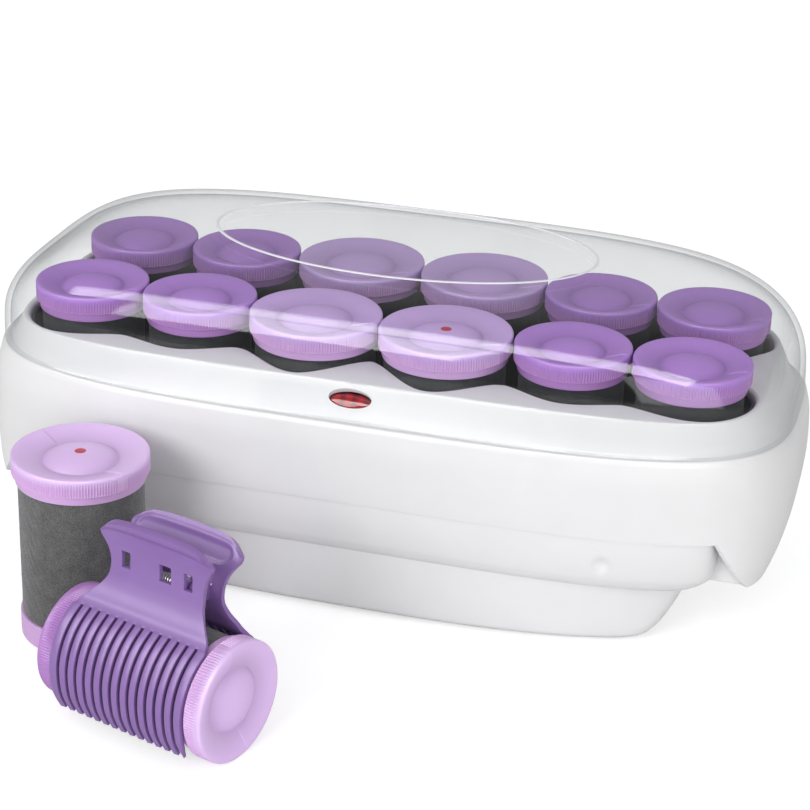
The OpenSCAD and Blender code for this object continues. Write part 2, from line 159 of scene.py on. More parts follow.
def make_studio():
    """Grey light from all round, soft lights, and a strip that draws the long streak on the lid."""
    scene = bpy.context.scene
    scene.view_settings.view_transform = "Standard"
    scene.world = bpy.data.worlds.new("studio")
    scene.world.use_nodes = True
    tree = scene.world.node_tree
    background, level = tree.nodes["Background"], tree.nodes.new("ShaderNodeMapRange")
    background.inputs["Color"].default_value = (1, 1, 1, 1)
    level.inputs["To Min"].default_value, level.inputs["To Max"].default_value = WORLD_LEVELS
    tree.links.new(tree.nodes.new("ShaderNodeLightPath").outputs["Is Glossy Ray"], level.inputs["Value"])
    tree.links.new(level.outputs["Result"], background.inputs["Strength"])
    add_softbox("key", (-0.5, -1.1, 0.62), (0, -0.02, 0.05), (0.7, 0.6), 7.5)
    add_softbox("fill", (0.72, -1.0, 0.4), (0, 0, 0.06), (0.9, 0.7), 4.4)
    rim = add_softbox("rim", (0.1, 0.95, 0.7), (0, 0, 0.06), (1.2, 0.5), 1.2)
    rim.visible_glossy = False
    strip = add_softbox("strip", (-0.14, -0.65, 0.875), (0, -0.06, 0.115), (2.1, 0.40), 19.0)
    strip.visible_diffuse = False


# -------- mesh helpers

def mesh_of(name, part, *materials):
    """A clean mesh from a part: its points, in millimetres, and its faces."""
    points, faces = part
    mesh = bpy.data.meshes.new(name)
    mesh.from_pydata((np.asarray(points, float) * MM).tolist(), [], faces)
    for material in materials:
        mesh.materials.append(material)
    grid = bmesh.new()
    grid.from_mesh(mesh)
    bmesh.ops.remove_doubles(grid, verts=grid.verts, dist=WELD)
    bmesh.ops.recalc_face_normals(grid, faces=grid.faces)
    grid.to_mesh(mesh)
    grid.free()
    return mesh


def smooth_up_to(mesh, sharp):
    """Shades a mesh smooth, except where it turns by more than sharp degrees."""
    mesh.shade_smooth()
    mesh.set_sharp_from_angle(angle=math.radians(sharp))


def make_piece(name, part, material, body, node, slot, sharp=35, where=None):
    """A piece of one part that rides on a body and stands for a CAD node."""
    return place_mesh(name, mesh_of(name, part, material), body, node, slot, sharp, where)


def place_mesh(name, mesh, body, node, slot, sharp, where=None):
    """An object for a mesh, riding on a body. It stands for a CAD node, unless that is None."""
    smooth_up_to(mesh, sharp)
    piece = bpy.data.objects.new(name, mesh)
    bpy.context.scene.collection.objects.link(piece)
    if where is not None:
        piece.matrix_world = where
    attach(piece, body)
    if node:
        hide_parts(node)
    return piece


def skin(rings, looped=False, capped=False):
    """Points and faces of a skin over rings of equal count, looped back to the first or capped."""
    rings = np.asarray(rings, float)
    count, around = rings.shape[:2]
    index = np.arange(count * around).reshape(count, around)
    beside, above = np.roll(index, -1, axis=1), np.roll(index, -1, axis=0)
    quads = np.stack([index, beside, np.roll(above, -1, axis=1), above], axis=-1)
    faces = quads[: count if looped else count - 1].reshape(-1, 4).tolist()
    if capped:
        faces += [index[0][::-1].tolist(), index[-1].tolist()]
    return rings.reshape(-1, 3), faces


def joined(*parts):
    """One part from several."""
    faces, start = [], 0
    for points, part_faces in parts:
        faces += [[v + start for v in face] for face in part_faces]
        start += len(points)
    return np.concatenate([points for points, _ in parts]), faces


def rounded(corners, radii, steps=5, closed=False):
    """A 2-D line whose corners are rounded, each by its own radius."""
    corners = np.asarray(corners, float)
    last = len(corners) - 1
    radii = np.broadcast_to(radii, last + 1)
    line = []
    for k, corner in enumerate(corners):
        before, after = corners[k - 1] - corner, corners[(k + 1) % (last + 1)] - corner
        cut_back = min(radii[k], 0.48 * np.linalg.norm(before), 0.48 * np.linalg.norm(after))
        if cut_back < 1e-6 or (k in (0, last) and not closed):
            line.append(corner)
            continue
        start = corner + before / np.linalg.norm(before) * cut_back
        end = corner + after / np.linalg.norm(after) * cut_back
        line += [(1 - t) ** 2 * start + 2 * t * (1 - t) * corner + t**2 * end for t in np.linspace(0, 1, steps + 1)]
    return np.array(line)


def quarter_round(radius, steps):
    """For each step round a quarter circle: how far it has come aside, and how far it is from its end."""
    return [
        (radius * (1 - math.cos(a)), radius * (1 - math.sin(a))) for a in np.linspace(0, math.pi / 2, steps + 1)[1:]
    ]


def run_along(line):
    """Distance along a line up to each of its points."""
    return np.concatenate([[0], np.cumsum(np.linalg.norm(np.diff(line, axis=0), axis=1))])


def smooth_line(points, count):
    """A smooth 2-D curve through points, with its points evenly spaced."""
    p = np.asarray(points, float)
    padded = np.vstack([2 * p[0] - p[1], p, 2 * p[-1] - p[-2]])
    dense = []
    for k in range(1, len(padded) - 2):
        a, b, c, d = padded[k - 1 : k + 3]
        dense += [
            0.5 * (2 * b + (c - a) * t + (2 * a - 5 * b + 4 * c - d) * t**2 + (3 * b - a - 3 * c + d) * t**3)
            for t in np.linspace(0, 1, 24, endpoint=False)
        ]
    dense = np.array(dense + [p[-1]])
    run = run_along(dense)
    at = np.linspace(0, run[-1], count)
    return np.stack([np.interp(at, run, dense[:, k]) for k in range(2)], axis=1)


def smooth_between(knots, values, at):
    """Values at places between the knots, smooth and without overshoot."""
    knots, values, at = (np.asarray(v, float) for v in (knots, values, at))
    gap = np.diff(knots)[:, None]
    rise = np.diff(values, axis=0) / gap
    product = rise[:-1] * rise[1:]
    total = np.where(np.abs(rise[:-1] + rise[1:]) < 1e-9, 1, rise[:-1] + rise[1:])
    slope = np.vstack([rise[:1], np.where(product > 0, 2 * product / total, 0), rise[-1:]])
    k = np.clip(np.searchsorted(knots, at, side="right") - 1, 0, len(gap) - 1)
    t = ((at - knots[k]) / gap[k, 0])[:, None]
    low, high, width = values[k], values[k + 1], gap[k]
    return (
        low * (1 + 2 * t) * (1 - t) ** 2 + high * t**2 * (3 - 2 * t)
        + slope[k] * width * t * (1 - t) ** 2 - slope[k + 1] * width * t**2 * (1 - t)
    )


def reach(levels, heights, angles, inset=0.0):
    """Distance from the middle axis to a casing's side, for each height and each angle."""
    levels = np.asarray(levels, float)
    rows = smooth_between(levels[:, 0], levels[:, 1:], np.atleast_1d(heights))
    half_x, half_y, power, *trim = rows.T[..., None]
    c, s = np.abs(np.cos(angles)), np.abs(np.sin(angles))
    oval = ((c / (half_x - inset)) ** power + (s / (half_y - inset)) ** power) ** (-1 / power)
    if not trim:
        return oval
    end = (trim[0] - inset) / np.maximum(c, 0.01)
    return oval * ((oval / end) ** TRIM_SHARPNESS + 1) ** (-1 / TRIM_SHARPNESS)


def round_ring(radii, angles, heights):
    """Rings in space from distances, angles and heights that broadcast together."""
    radii, angles, heights = np.broadcast_arrays(radii, angles, heights)
    return np.stack([radii * np.cos(angles), radii * np.sin(angles), heights], axis=-1)


def level_ring(levels, z, angles, pull=0.0):
    """Ring round a casing at one height, pulled in from its side."""
    return round_ring(reach(levels, z, angles)[0] - pull, angles, z)


def flat_ring(line, z):
    """A plan line lifted to a height."""
    return np.column_stack([line, np.broadcast_to(z, len(line))])


def spread_angles(count):
    """Angles round a casing, evenly spaced along its sides."""
    turn = np.arange(count) * TURN / count
    return np.arctan2(np.sin(turn), 2.2 * np.cos(turn))


def turned(profile, count, shape=None):
    """Rings of a turned profile of (radius, height) points. shape may change both at each angle."""
    profile = np.asarray(profile, float)
    angles = np.arange(count)[None, :] * TURN / count
    radii = np.repeat(profile[:, :1], count, axis=1)
    heights = np.repeat(profile[:, 1:], count, axis=1)
    if shape is not None:
        radii, heights = shape(angles, radii, heights)
    return round_ring(radii, angles, heights)


def cut(piece, cutters):
    """Cuts closed parts out of a piece for good."""
    cutter = bpy.data.objects.new("cutter", mesh_of("cutter", joined(*cutters)))
    bpy.context.scene.collection.objects.link(cutter)
    modifier = piece.modifiers.new("cut", "BOOLEAN")
    modifier.operation, modifier.solver, modifier.object = "DIFFERENCE", "EXACT", cutter
    settle(piece)
    bpy.data.objects.remove(cutter)


def settle(piece, sharp=35):
    """Applies a piece's modifiers to its mesh."""
    bpy.context.view_layer.update()
    graph = bpy.context.evaluated_depsgraph_get()
    done = bpy.data.meshes.new_from_object(piece.evaluated_get(graph))
    piece.modifiers.clear()
    piece.data = done
    smooth_up_to(done, sharp)


def post(radius, low, high, x, y, count=48):
    """A closed round solid, upright at x and y."""
    points, faces = skin(turned([(radius, low), (radius, high)], count), capped=True)
    return points + [x, y, 0], faces


def laid_back(part):
    """An upright part laid along the cord's way out of the back of the foot."""
    points, faces = part
    return np.stack([points[:, 0] + GLAND_X, points[:, 2], points[:, 1] + GLAND_Z], axis=1), faces


# -------- materials

def paint(red, green, blue):
    """Linear colour from a display colour of 0 to 255."""
    def linear(v):
        v /= 255
        return v / 12.92 if v <= 0.04045 else ((v + 0.055) / 1.055) ** 2.4
    return (linear(red), linear(green), linear(blue), 1.0)


def shaded(colour, share):
    """A colour made lighter or darker by a share."""
    return tuple(min(1.0, c * share) for c in colour[:3]) + (1.0,)


class Finish:
    """A node material under construction: its shader, its coordinates and its bumps."""

    def __init__(self, name, **inputs):
        self.material = bpy.data.materials.new(name)
        self.material.use_nodes = True
        self.tree = self.material.node_tree
        self.shader = self.tree.nodes["Principled BSDF"]
        self.place = self.tree.nodes.new("ShaderNodeTexCoord").outputs["Object"]
        self.bump = None
        self.shade(**inputs)

    def put(self, socket, value):
        """Sets a socket to a plain value, or links it to another node's output."""
        if isinstance(value, bpy.types.NodeSocket):
            self.tree.links.new(value, socket)
        else:
            socket.default_value = value

    def shade(self, **inputs):
        """Sets or links the shader's own sockets."""
        for name, value in inputs.items():
            self.put(self.shader.inputs[name.replace("_", " ")], value)

    def node(self, kind, **inputs):
        """A new node with its sockets set or linked."""
        made = self.tree.nodes.new("ShaderNode" + kind)
        for name, value in inputs.items():
            self.put(made.inputs[name.replace("_", " ")], value)
        return made

    def noise(self, size_mm, detail=3.0, stretch=None):
        """Noise whose features are about size_mm across."""
        place = self.place
        if stretch is not None:
            place = self.node("Mapping", Vector=place, Scale=stretch).outputs["Vector"]
        return self.node("TexNoise", Vector=place, Scale=1 / (size_mm * MM), Detail=detail).outputs["Fac"]

    def ramp(self, fac, stops):
        """Colours along a factor."""
        node = self.node("ValToRGB", Fac=fac)
        elements = node.color_ramp.elements
        while len(elements) < len(stops):
            elements.new(0.5)
        for element, (at, colour) in zip(elements, stops):
            element.position, element.color = at, colour
        return node.outputs["Color"]

    def clouds(self, size_mm, detail, dark, light):
        """Two colours that wander into each other."""
        return self.ramp(self.noise(size_mm, detail), [(0.3, dark), (0.7, light)])

    def remap(self, fac, low, high, **source):
        """A factor moved to run from low to high."""
        return self.node("MapRange", Value=fac, To_Min=low, To_Max=high, **source).outputs["Result"]

    def mixed(self, fac, first, second, kind="MIX"):
        """Two colours mixed. Either may be a socket or a plain colour."""
        node = self.node("Mix")
        node.data_type, node.blend_type = "RGBA", kind
        for socket, value in ((0, fac), (6, first), (7, second)):
            self.put(node.inputs[socket], value)
        return node.outputs[2]

    def add_bump(self, fac, depth_mm):
        """A bump of about depth_mm, laid over the ones before."""
        below = {} if self.bump is None else {"Normal": self.bump}
        self.bump = self.node("Bump", Distance=depth_mm * MM, Strength=1.0, Height=fac, **below).outputs["Normal"]
        self.shade(Normal=self.bump)


def moulded_plastic(name, colour, rough, mottle=0.03, peel_mm=0.02, subsurface=0.0, band=None):
    """Injection-moulded plastic: faint clouds, orange peel and a roughness that wanders.

    band is the tint of a cap's knurled band. Above it the dish is painted darker as shade in its groove, and the rim
    and the dome's top are painted lighter as a highlight.
    """
    finish = Finish(name, Subsurface_Weight=subsurface)
    if subsurface:
        finish.shade(Subsurface_Radius=colour[:3], Subsurface_Scale=2.0 * MM)
    tone = finish.clouds(14, 4, shaded(colour, 1 - mottle), shaded(colour, 1 + mottle))
    if band:
        height = finish.node("SeparateXYZ", Vector=finish.place).outputs["Z"]
        span = {"From_Min": (ROLLER_LEN - 4) * MM, "From_Max": (ROLLER_LEN + 0.2) * MM}
        # Painted light over the cap's own colour: the band keeps its own tint, the dish just above it gets painted
        # shade, and the highest parts get a painted highlight.
        band_tint_and_painted_light = [(0.14, band), (0.24, shaded(colour, 0.84)), (0.6, colour), (1.0, shaded(colour, 1.12))]
        tone = finish.mixed(0.85, tone, finish.ramp(finish.remap(height, 0.0, 1.0, **span), band_tint_and_painted_light))
    finish.shade(Base_Color=tone, Roughness=finish.remap(finish.noise(3, 2), rough - 0.04, rough + 0.06))
    finish.add_bump(finish.noise(0.9, 2), peel_mm)
    finish.add_bump(finish.noise(0.12, 1), peel_mm * 0.15)
    return finish.material


def flocked_velour(name, dark, light, sheen):
    """Short flock on a tube: speckled fibres, soft blotches where the nap lies over, and sheen."""
    finish = Finish(name, Roughness=0.95, Sheen_Weight=sheen, Sheen_Roughness=0.45,
                    Sheen_Tint=(0.9, 0.9, 0.95, 1), Specular_IOR_Level=0.12)
    speckle = finish.ramp(finish.noise(0.28, 4), [(0.32, dark), (0.62, light)])
    blotch = finish.clouds(4.5, 5, (0.8, 0.8, 0.8, 1), (1.12, 1.12, 1.12, 1))
    finish.shade(Base_Color=finish.mixed(1.0, speckle, blotch, "MULTIPLY"))
    finish.add_bump(finish.noise(1.6, 4), 0.12)
    finish.add_bump(finish.noise(0.25, 3), 0.16)
    return finish.material


def brushed_metal(name, colour, rough, stretch=(1, 1, 0.04)):
    """Bare metal with fine drawn lines."""
    finish = Finish(name, Metallic=1.0)
    lines = finish.noise(0.35, 4, stretch)
    finish.shade(Base_Color=finish.ramp(lines, [(0.3, shaded(colour, 0.86)), (0.7, colour)]),
                 Roughness=finish.remap(lines, rough - 0.08, rough + 0.12))
    finish.add_bump(lines, 0.01)
    return finish.material


def clear_plastic(name):
    """Clear polycarbonate, too thin to bend what is seen through it, with a polished face."""
    finish = Finish(name, Metallic=1.0, Base_Color=(0.97, 0.975, 0.98, 1))
    finish.shade(Roughness=finish.remap(finish.noise(9, 3), 0.03, 0.07))
    finish.add_bump(finish.noise(22, 2), 0.02)
    facing = finish.node("LayerWeight").outputs["Facing"]
    depth = [(0.3, (0.985, 0.99, 0.99, 1)), (0.62, (0.94, 0.945, 0.95, 1)), (0.85, (0.86, 0.865, 0.87, 1)),
             (1.0, (0.6, 0.605, 0.61, 1))]
    through = finish.node("BsdfTransparent", Color=finish.ramp(facing, depth))
    steep = finish.node("Math")
    steep.operation = "POWER"
    finish.put(steep.inputs[0], facing)
    finish.put(steep.inputs[1], 5.0)
    blend = finish.node("MixShader", Fac=finish.remap(steep.outputs["Value"], 0.025, 0.85))
    finish.put(blend.inputs[1], through.outputs["BSDF"])
    finish.put(blend.inputs[2], finish.shader.outputs["BSDF"])
    finish.put(finish.tree.nodes["Material Output"].inputs["Surface"], blend.outputs["Shader"])
    return finish.material


def frosted_line(name):
    """Fine white frosting of the ring on the lid."""
    finish = Finish(name, Roughness=0.6, Alpha=0.9)
    finish.shade(Base_Color=finish.clouds(0.3, 2, paint(232, 232, 236), paint(250, 250, 252)))
    finish.add_bump(finish.noise(0.15, 2), 0.02)
    return finish.material


def red_lens_plastic(name):
    """Tinted pilot lens with fine ribs under a glossy face."""
    finish = Finish(name, Roughness=0.12, Coat_Weight=0.6, Coat_Roughness=0.05)
    ribs = finish.node("TexWave", Vector=finish.place, Scale=1 / (14 * MM), Distortion=0.4).outputs["Fac"]
    finish.shade(Base_Color=finish.ramp(ribs, [(0.1, paint(128, 16, 20)), (0.9, paint(176, 34, 34))]))
    finish.add_bump(ribs, 0.01)
    return finish.material


def fired_ceramic(name):
    """Pale matte ceramic."""
    finish = Finish(name, Roughness=0.55)
    finish.shade(Base_Color=finish.clouds(0.8, 4, paint(206, 196, 172), paint(228, 220, 200)))
    finish.add_bump(finish.noise(0.3, 3), 0.03)
    return finish.material


def moulded_rubber(name):
    """Dark rubber with a pebbled face."""
    finish = Finish(name)
    finish.shade(Base_Color=finish.clouds(0.7, 4, paint(44, 44, 47), paint(62, 62, 66)),
                 Roughness=finish.remap(finish.noise(1.5, 2), 0.7, 0.9))
    pebbles = finish.node("TexVoronoi", Vector=finish.place, Scale=1 / (0.6 * MM))
    finish.add_bump(pebbles.outputs["Distance"], 0.06)
    return finish.material


def make_floor():
    """A large pale floor. The camera sees it close to white, and other rays see its own shade."""
    half = 4.0
    corners = [(-half, -half, 0), (half, -half, 0), (half, half, 0), (-half, half, 0)]
    mesh = bpy.data.meshes.new("floor")
    mesh.from_pydata(corners, [], [(0, 1, 2, 3)])
    finish = Finish("pale_floor", Roughness=0.9, Specular_IOR_Level=0.0, Emission_Color=(1, 1, 1, 1))
    seen = finish.node("LightPath").outputs["Is Camera Ray"]
    finish.shade(Base_Color=finish.clouds(60, 2, paint(226, 226, 227), paint(230, 230, 230)),
                 Emission_Strength=finish.remap(seen, 0.0, 0.5))
    mesh.materials.append(finish.material)
    floor = bpy.data.objects.new("floor", mesh)
    bpy.context.scene.collection.objects.link(floor)


WHITE_SHELL = moulded_plastic("white_shell", paint(226, 226, 227), 0.34, 0.012, 0.012)
DARK_WELL = moulded_plastic("dark_well", paint(33, 33, 50), 0.42, 0.12, 0.03)
PURPLE = moulded_plastic("purple", paint(181, 134, 214), 0.38, 0.03, 0.015, 0.12, band=paint(172, 124, 188))
LAVENDER = moulded_plastic("lavender", paint(206, 174, 230), 0.36, 0.03, 0.015, 0.12, band=paint(198, 158, 208))
CLIP_PURPLE = moulded_plastic("clip_purple", paint(136, 104, 166), 0.36, 0.04, 0.015, 0.10)
PINK_LAVENDER = moulded_plastic("pale_cap", paint(220, 189, 236), 0.36, 0.03, 0.015, 0.12, band=paint(204, 164, 214))
FLOCK = flocked_velour("flock", paint(62, 62, 62), paint(112, 112, 111), 0.5)
# The seated rollers' flock is the same flock painted much darker: painted shade for the light that the well and the lid
# keep off the sleeves.
SEATED_FLOCK_PAINTED_SHADE = flocked_velour("seated_flock_painted_shade", paint(26, 27, 31), paint(52, 54, 58), 0.15)
ALUMINIUM = brushed_metal("aluminium", (0.78, 0.78, 0.79, 1), 0.34)
STEEL = brushed_metal("steel", (0.62, 0.61, 0.60, 1), 0.3)
ELEMENT = brushed_metal("element_sheath", (0.42, 0.34, 0.27, 1), 0.5, (0.2, 1, 1))
CERAMIC = fired_ceramic("ceramic")
RUBBER = moulded_rubber("foot_rubber")
CLEAR = clear_plastic("clear_lid")
FROST = frosted_line("lid_ring")
RED_LENS = red_lens_plastic("red_lens")
LAMP_GLASS = moulded_plastic("lamp_glass", paint(216, 120, 96), 0.1, 0.1, 0.0)
READY_RED = moulded_plastic("ready_red", paint(196, 62, 84), 0.4, 0.05, 0.02)


# -------- the well's wavy edge

def well_edge(peaks, fullness):
    """The whole edge of the well, as points in plan, clockwise from the middle of the back."""
    wave, end, waist = np.arange(30) / 30, np.arange(50) / 50, np.arange(41) / 40
    quarter = []
    for (x0, y0), (x1, y1) in zip(peaks, peaks[1:]):
        swing = (1 - np.cos(math.pi * wave)) / 2
        out = (swing if y1 > y0 else 1 - swing) ** fullness
        quarter.append(np.column_stack([x0 + (x1 - x0) * wave, min(y0, y1) + abs(y1 - y0) * out]))
    a = math.pi / 2 * (1 - end)
    quarter.append(np.column_stack([OUTER_X + END_RX * np.cos(a), JUMBO_Y + END_RY * np.sin(a)]))
    ease = (1 - np.cos(math.pi * (1 - waist))) / 2
    quarter.append(np.column_stack([END_WAIST + (OUTER_X + END_RX - END_WAIST) * ease, JUMBO_Y * (1 - waist)]))
    q = np.vstack(quarter)
    right = np.vstack([q, (q * [1, -1])[-2::-1]])
    return np.vstack([right, (right * [-1, 1])[-2:0:-1]])


def inward(edge, distance):
    """A closed plan line moved inwards, square to itself."""
    along = np.roll(edge, -1, axis=0) - np.roll(edge, 1, axis=0)
    normal = np.stack([along[:, 1], -along[:, 0]], axis=1)
    normal /= np.linalg.norm(normal, axis=1)[:, None]
    toward = np.sum(normal * edge, axis=1)[:, None] > 0
    return edge - np.where(toward, normal, -normal) * distance


def softened(line, passes):
    """A closed line with its kinks relaxed."""
    for _ in range(passes):
        line = (np.roll(line, 1, axis=0) + 2 * line + np.roll(line, -1, axis=0)) / 4
    return line


WELL = well_edge(EDGE_POINTS, EDGE_FULLNESS)
EDGE = softened(well_edge(LIP_POINTS, LIP_FULLNESS), 6)
EDGE_ANGLES = np.arctan2(EDGE[:, 1], EDGE[:, 0])
EDGE_REACH = np.linalg.norm(EDGE, axis=1)


def bezel_height(distance):
    """Height of the bezel's skin at each distance from the middle, along each of the edge's angles."""
    heights = np.linspace(LEDGE_Z, BEZEL_LEVELS[-1][0], 90)
    table = reach(BEZEL_LEVELS, heights, EDGE_ANGLES)[::-1]
    return np.stack([np.interp(at, radii, heights[::-1]) for at, radii in zip(distance.T, table.T)], axis=1)


# -------- base

def wall_reach(heights, angles):
    """Distance to the casing's wall where each angle has a height of its own."""
    return np.diagonal(reach(WALL_LEVELS, heights, angles))


def skirt_height(angles):
    """Lower edge of the casing's wall: level along the front, running down to the tips of the wings."""
    low = np.full(len(angles), SKIRT_Z)
    for _ in range(4):
        x = np.abs(wall_reach(low, angles) * np.cos(angles))
        low = np.clip(SKIRT_Z - (x - BELLY_X - 0.5) * WING_DROP, WALL_LEVELS[0][0], SKIRT_Z)
    return low


def make_upper_housing():
    """Wall, ledge for the lid, bezel and the rolled edge of the well, as one closed shell."""
    angles, low = EDGE_ANGLES, skirt_height(EDGE_ANGLES)
    corner_r, lip, bezel_t, ceiling = 1.4, 1.5, 3.4, LEDGE_Z - 3.0

    def wall_ring(height, inset):
        return round_ring(wall_reach(height, angles) - inset, angles, height)

    rise = LEDGE_Z - corner_r - low - 0.5
    rings = [wall_ring(low + 0.5 + rise * share, 0) for share in np.linspace(0, 1, 27)[1:] ** 0.9]
    top = reach(WALL_LEVELS, LEDGE_Z, angles)[0]
    rings += [round_ring(top - aside, angles, LEDGE_Z - short) for aside, short in quarter_round(corner_r, 6)]
    start = reach(BEZEL_LEVELS, LEDGE_Z, angles)[0]
    rings.append(round_ring(start + 0.7, angles, LEDGE_Z))
    distance = start + (EDGE_REACH + lip - start) * np.linspace(0.012, 1, 34)[:, None]
    height = bezel_height(distance)
    height[0] += 0.1
    rings += list(round_ring(distance, angles, height))
    rim, under = height[-1], inward(EDGE, -2.2)
    rings += [flat_ring(inward(EDGE, -short), rim - aside) for aside, short in quarter_round(lip, 6)]
    rings += [flat_ring(line, rim - drop) for line, drop in ((EDGE, 3.0), (EDGE, 4.6), (under, 4.8), (under, 3.6))]
    rings += [
        round_ring(distance[k], angles, np.minimum(height[k], rim) - bezel_t - 0.2 * (28 - k) / 28)
        for k in range(28, -1, -4)
    ]
    rings += [wall_ring(ceiling - (ceiling - low - 0.5) * share, WALL) for share in np.linspace(0.06, 1, 10)]
    rings += [wall_ring(low + up, inset) for up, inset in ((0.12, WALL - 0.4), (0, WALL - 0.9), (0, 0.6), (0.15, 0.15))]
    piece = make_piece("upper_housing_shell", skin(rings, looped=True), WHITE_SHELL, "base", "upper_housing",
                       "white_shell", 32)
    cut(piece, [lens_solid(0.12, -8, 6)])


def lens_frame(points):
    """Moves points from the lens's own plane to its place on the slope."""
    tilt = Matrix.Rotation(math.radians(LENS_TILT), 3, "X")
    return points @ np.array(tilt).T + np.array(LENS_AT)


def flat_oval(half_x, half_y, count):
    """Points round a level oval."""
    turn = np.arange(count) * TURN / count
    return np.stack([half_x * np.cos(turn), half_y * np.sin(turn), 0 * turn], axis=1)


def lens_solid(margin, low, high):
    """An oval post at the lens's place."""
    ring = flat_oval(LENS_LEN / 2 + margin, LENS_W / 2 + margin, 72)
    points, faces = skin([ring + [0, 0, low], ring + [0, 0, high]], capped=True)
    return lens_frame(points), faces


def make_lens():
    """Domed oval lens with a small step round it."""
    ring = flat_oval(LENS_LEN / 2, LENS_W / 2, 96)
    section = [(0.86, -3.4), (0.97, -3.2), (0.985, -0.3), (0.97, 0.02)]
    section += [(s, 0.05 + 0.85 * (1 - s**2.4)) for s in (0.93, 0.86, 0.76, 0.64, 0.5, 0.36, 0.22, 0.1)]
    points, faces = skin([ring * s + [0, 0, z] for s, z in section], capped=True)
    make_piece("indicator_lens_dome", (lens_frame(points), faces), RED_LENS, "base", "indicator_lens",
               "red_lens", 50)


def make_lower_housing():
    """Belly between the end wings, with a dimple at the front, and the floors of the wings."""
    angles, thick = spread_angles(840), 2.0
    heights = np.concatenate([np.linspace(SKIRT_Z, 33, 12), np.linspace(32, 27, 11)])
    top, bottom = heights[0], heights[-1]
    edge = reach(BELLY_LEVELS, bottom, angles)[0]
    opening = reach([(27, 100, 31, 7), (29, 100, 31, 7)], 27.0, angles)[0]
    turn_in = [(s, bottom) for s in (0.25, 0.6, 0.9, 1.0)] + [(s, bottom + thick) for s in (1.0, 0.6, 0.25)]
    rings = [level_ring(BELLY_LEVELS, top, angles, 0.3)]
    rings += [level_ring(BELLY_LEVELS, z, angles) for z in [top - 0.25, *heights[1:]]]
    rings += [round_ring(edge + (opening - edge) * s, angles, z) for s, z in turn_in]
    for z in heights[:0:-1]:
        inside = reach(BELLY_LEVELS, max(z, bottom + 0.3), angles, thick)[0]
        rings.append(round_ring(inside, angles, z + thick * (z < bottom + 1)))
    rings.append(level_ring(BELLY_LEVELS, top, angles, thick))
    points, faces = skin(rings, looped=True)
    dimple_x, dimple_z, dimple_r, dimple_depth = 92.0, 38.3, 2.6, 1.5
    near = (points[:, 1] < -55) & (points[:, 2] > 30)
    away = np.hypot(points[:, 0] - dimple_x, points[:, 2] - dimple_z) / dimple_r
    points[:, 1] += np.where(near, dimple_depth * np.exp(-(away**4)), 0)
    part = joined((points, faces), wing_floor(-1), wing_floor(1))
    make_piece("lower_housing_shell", part, WHITE_SHELL, "base", "lower_housing", "white_shell", 38)


def wing_floor(side):
    """Block that closes one wing from below, between its front and back ribs."""
    inside_x, gap = 126.0, WALL + 0.15
    rings = []
    for z, pull in [(30.0, 0.9), (30.12, 0.45), (30.45, 0.12), (31.0, 0), (36, 0), (42, 0), (48.6, 0)]:
        half = WING_Y - pull
        y = np.linspace(-1, 1, 61) * half
        angle = np.arctan2(y, 145.0)
        for _ in range(4):
            x = reach(WALL_LEVELS, z, angle)[0] * np.cos(angle) - gap - pull
            angle = np.arctan2(y, x + gap + pull)
        lane = np.linspace(x[-1], inside_x, 10)[1:]
        plan = [np.concatenate([x, lane, lane[::-1]]), np.concatenate([y, np.repeat([half, -half], len(lane))])]
        rings.append(flat_ring(np.column_stack(plan), z) * [side, 1, 1])
    return skin(rings, capped=True)


def make_foot():
    """Foot under the belly, with counterbores for the screws and the cord's hole at the back."""
    angles = spread_angles(720)
    sole = reach(FOOT_LEVELS, 1.0, angles)[0]
    rings = [round_ring(sole * share, angles, 1.0) for share in (0.3, 0.7, 0.93, 0.985)]
    levels = [(1.0, 1.3), (1.15, 0.75), (1.5, 0.3), (2.2, 0.05)] + [(z, 0) for z in np.linspace(3.2, 26.9, 26)]
    rings += [level_ring(FOOT_LEVELS, z, angles, pull) for z, pull in levels]
    piece = make_piece("base_foot_shell", skin(rings, capped=True), WHITE_SHELL, "base", "base_foot", "white_shell")
    cut(piece, [post(3.6, -1, 4.1, x, y) for x, y in SCREWS] + [laid_back(post(5.0, 50, 66, 0, 0))])


def make_tray():
    """Dark tray under the well's edge: rolled rim, drawn wall, floor with a hole for each post."""
    rim, gap, thick, fillet = 90.4, 0.5, 1.0, 2.5
    floor = inward(WELL, gap + thick + fillet)
    levels = [(0, z) for z in [33.6, *np.linspace(34.2, rim - 0.4, 12)]] + [(0.2, rim), (thick - 0.2, rim)]
    levels += [(thick, z) for z in np.linspace(rim - 0.4, SEAT_Z + fillet, 12)]
    levels += [(thick + aside, SEAT_Z + short) for aside, short in quarter_round(fillet, 5)]
    rings = [flat_ring(inward(WELL, gap + pull), z) for pull, z in levels]
    rings += [flat_ring(floor * s, SEAT_Z - drop) for s, drop in ((0.8, 0), (0.03, 0), (0.03, 1.2), (0.9, 1.2))]
    piece = make_piece("well_tray_liner", skin(rings, looped=True), DARK_WELL, "base", "well_tray", "dark_well", 40)
    cut(piece, [
        post((SUPER_POST_R if is_super else JUMBO_POST_R) + 0.2, 30, 40, x, side * y, 64)
        for x, y, is_super in SEATS for side in (-1, 1)
    ])


def make_gland():
    """Tapered strain relief with ribs round it, on the back of the foot."""
    bore, ribs, rib_pitch = 3.0, 4, 1.6
    profile = [(bore, 50.6), (6.4, 50.6), (6.4, 53.4), (4.9, 53.5), (4.9, 58.4), (7.0, 58.4)]
    for k in range(ribs):
        z, r = 59.0 + k * rib_pitch, 6.9 - 0.4 * k
        profile += [(r, z), (r, z + 0.75), (r - 0.9, z + 0.9), (r - 0.9, z + rib_pitch - 0.15)]
    profile += [(5.4, 65.2), (4.6, 65.4), (bore, 65.4)]
    part = skin(turned(rounded(profile, 0.25, 3, closed=True), 72), looped=True)
    make_piece("cord_gland_sleeve", laid_back(part), WHITE_SHELL, "base", "cord_gland", "white_shell", 40)


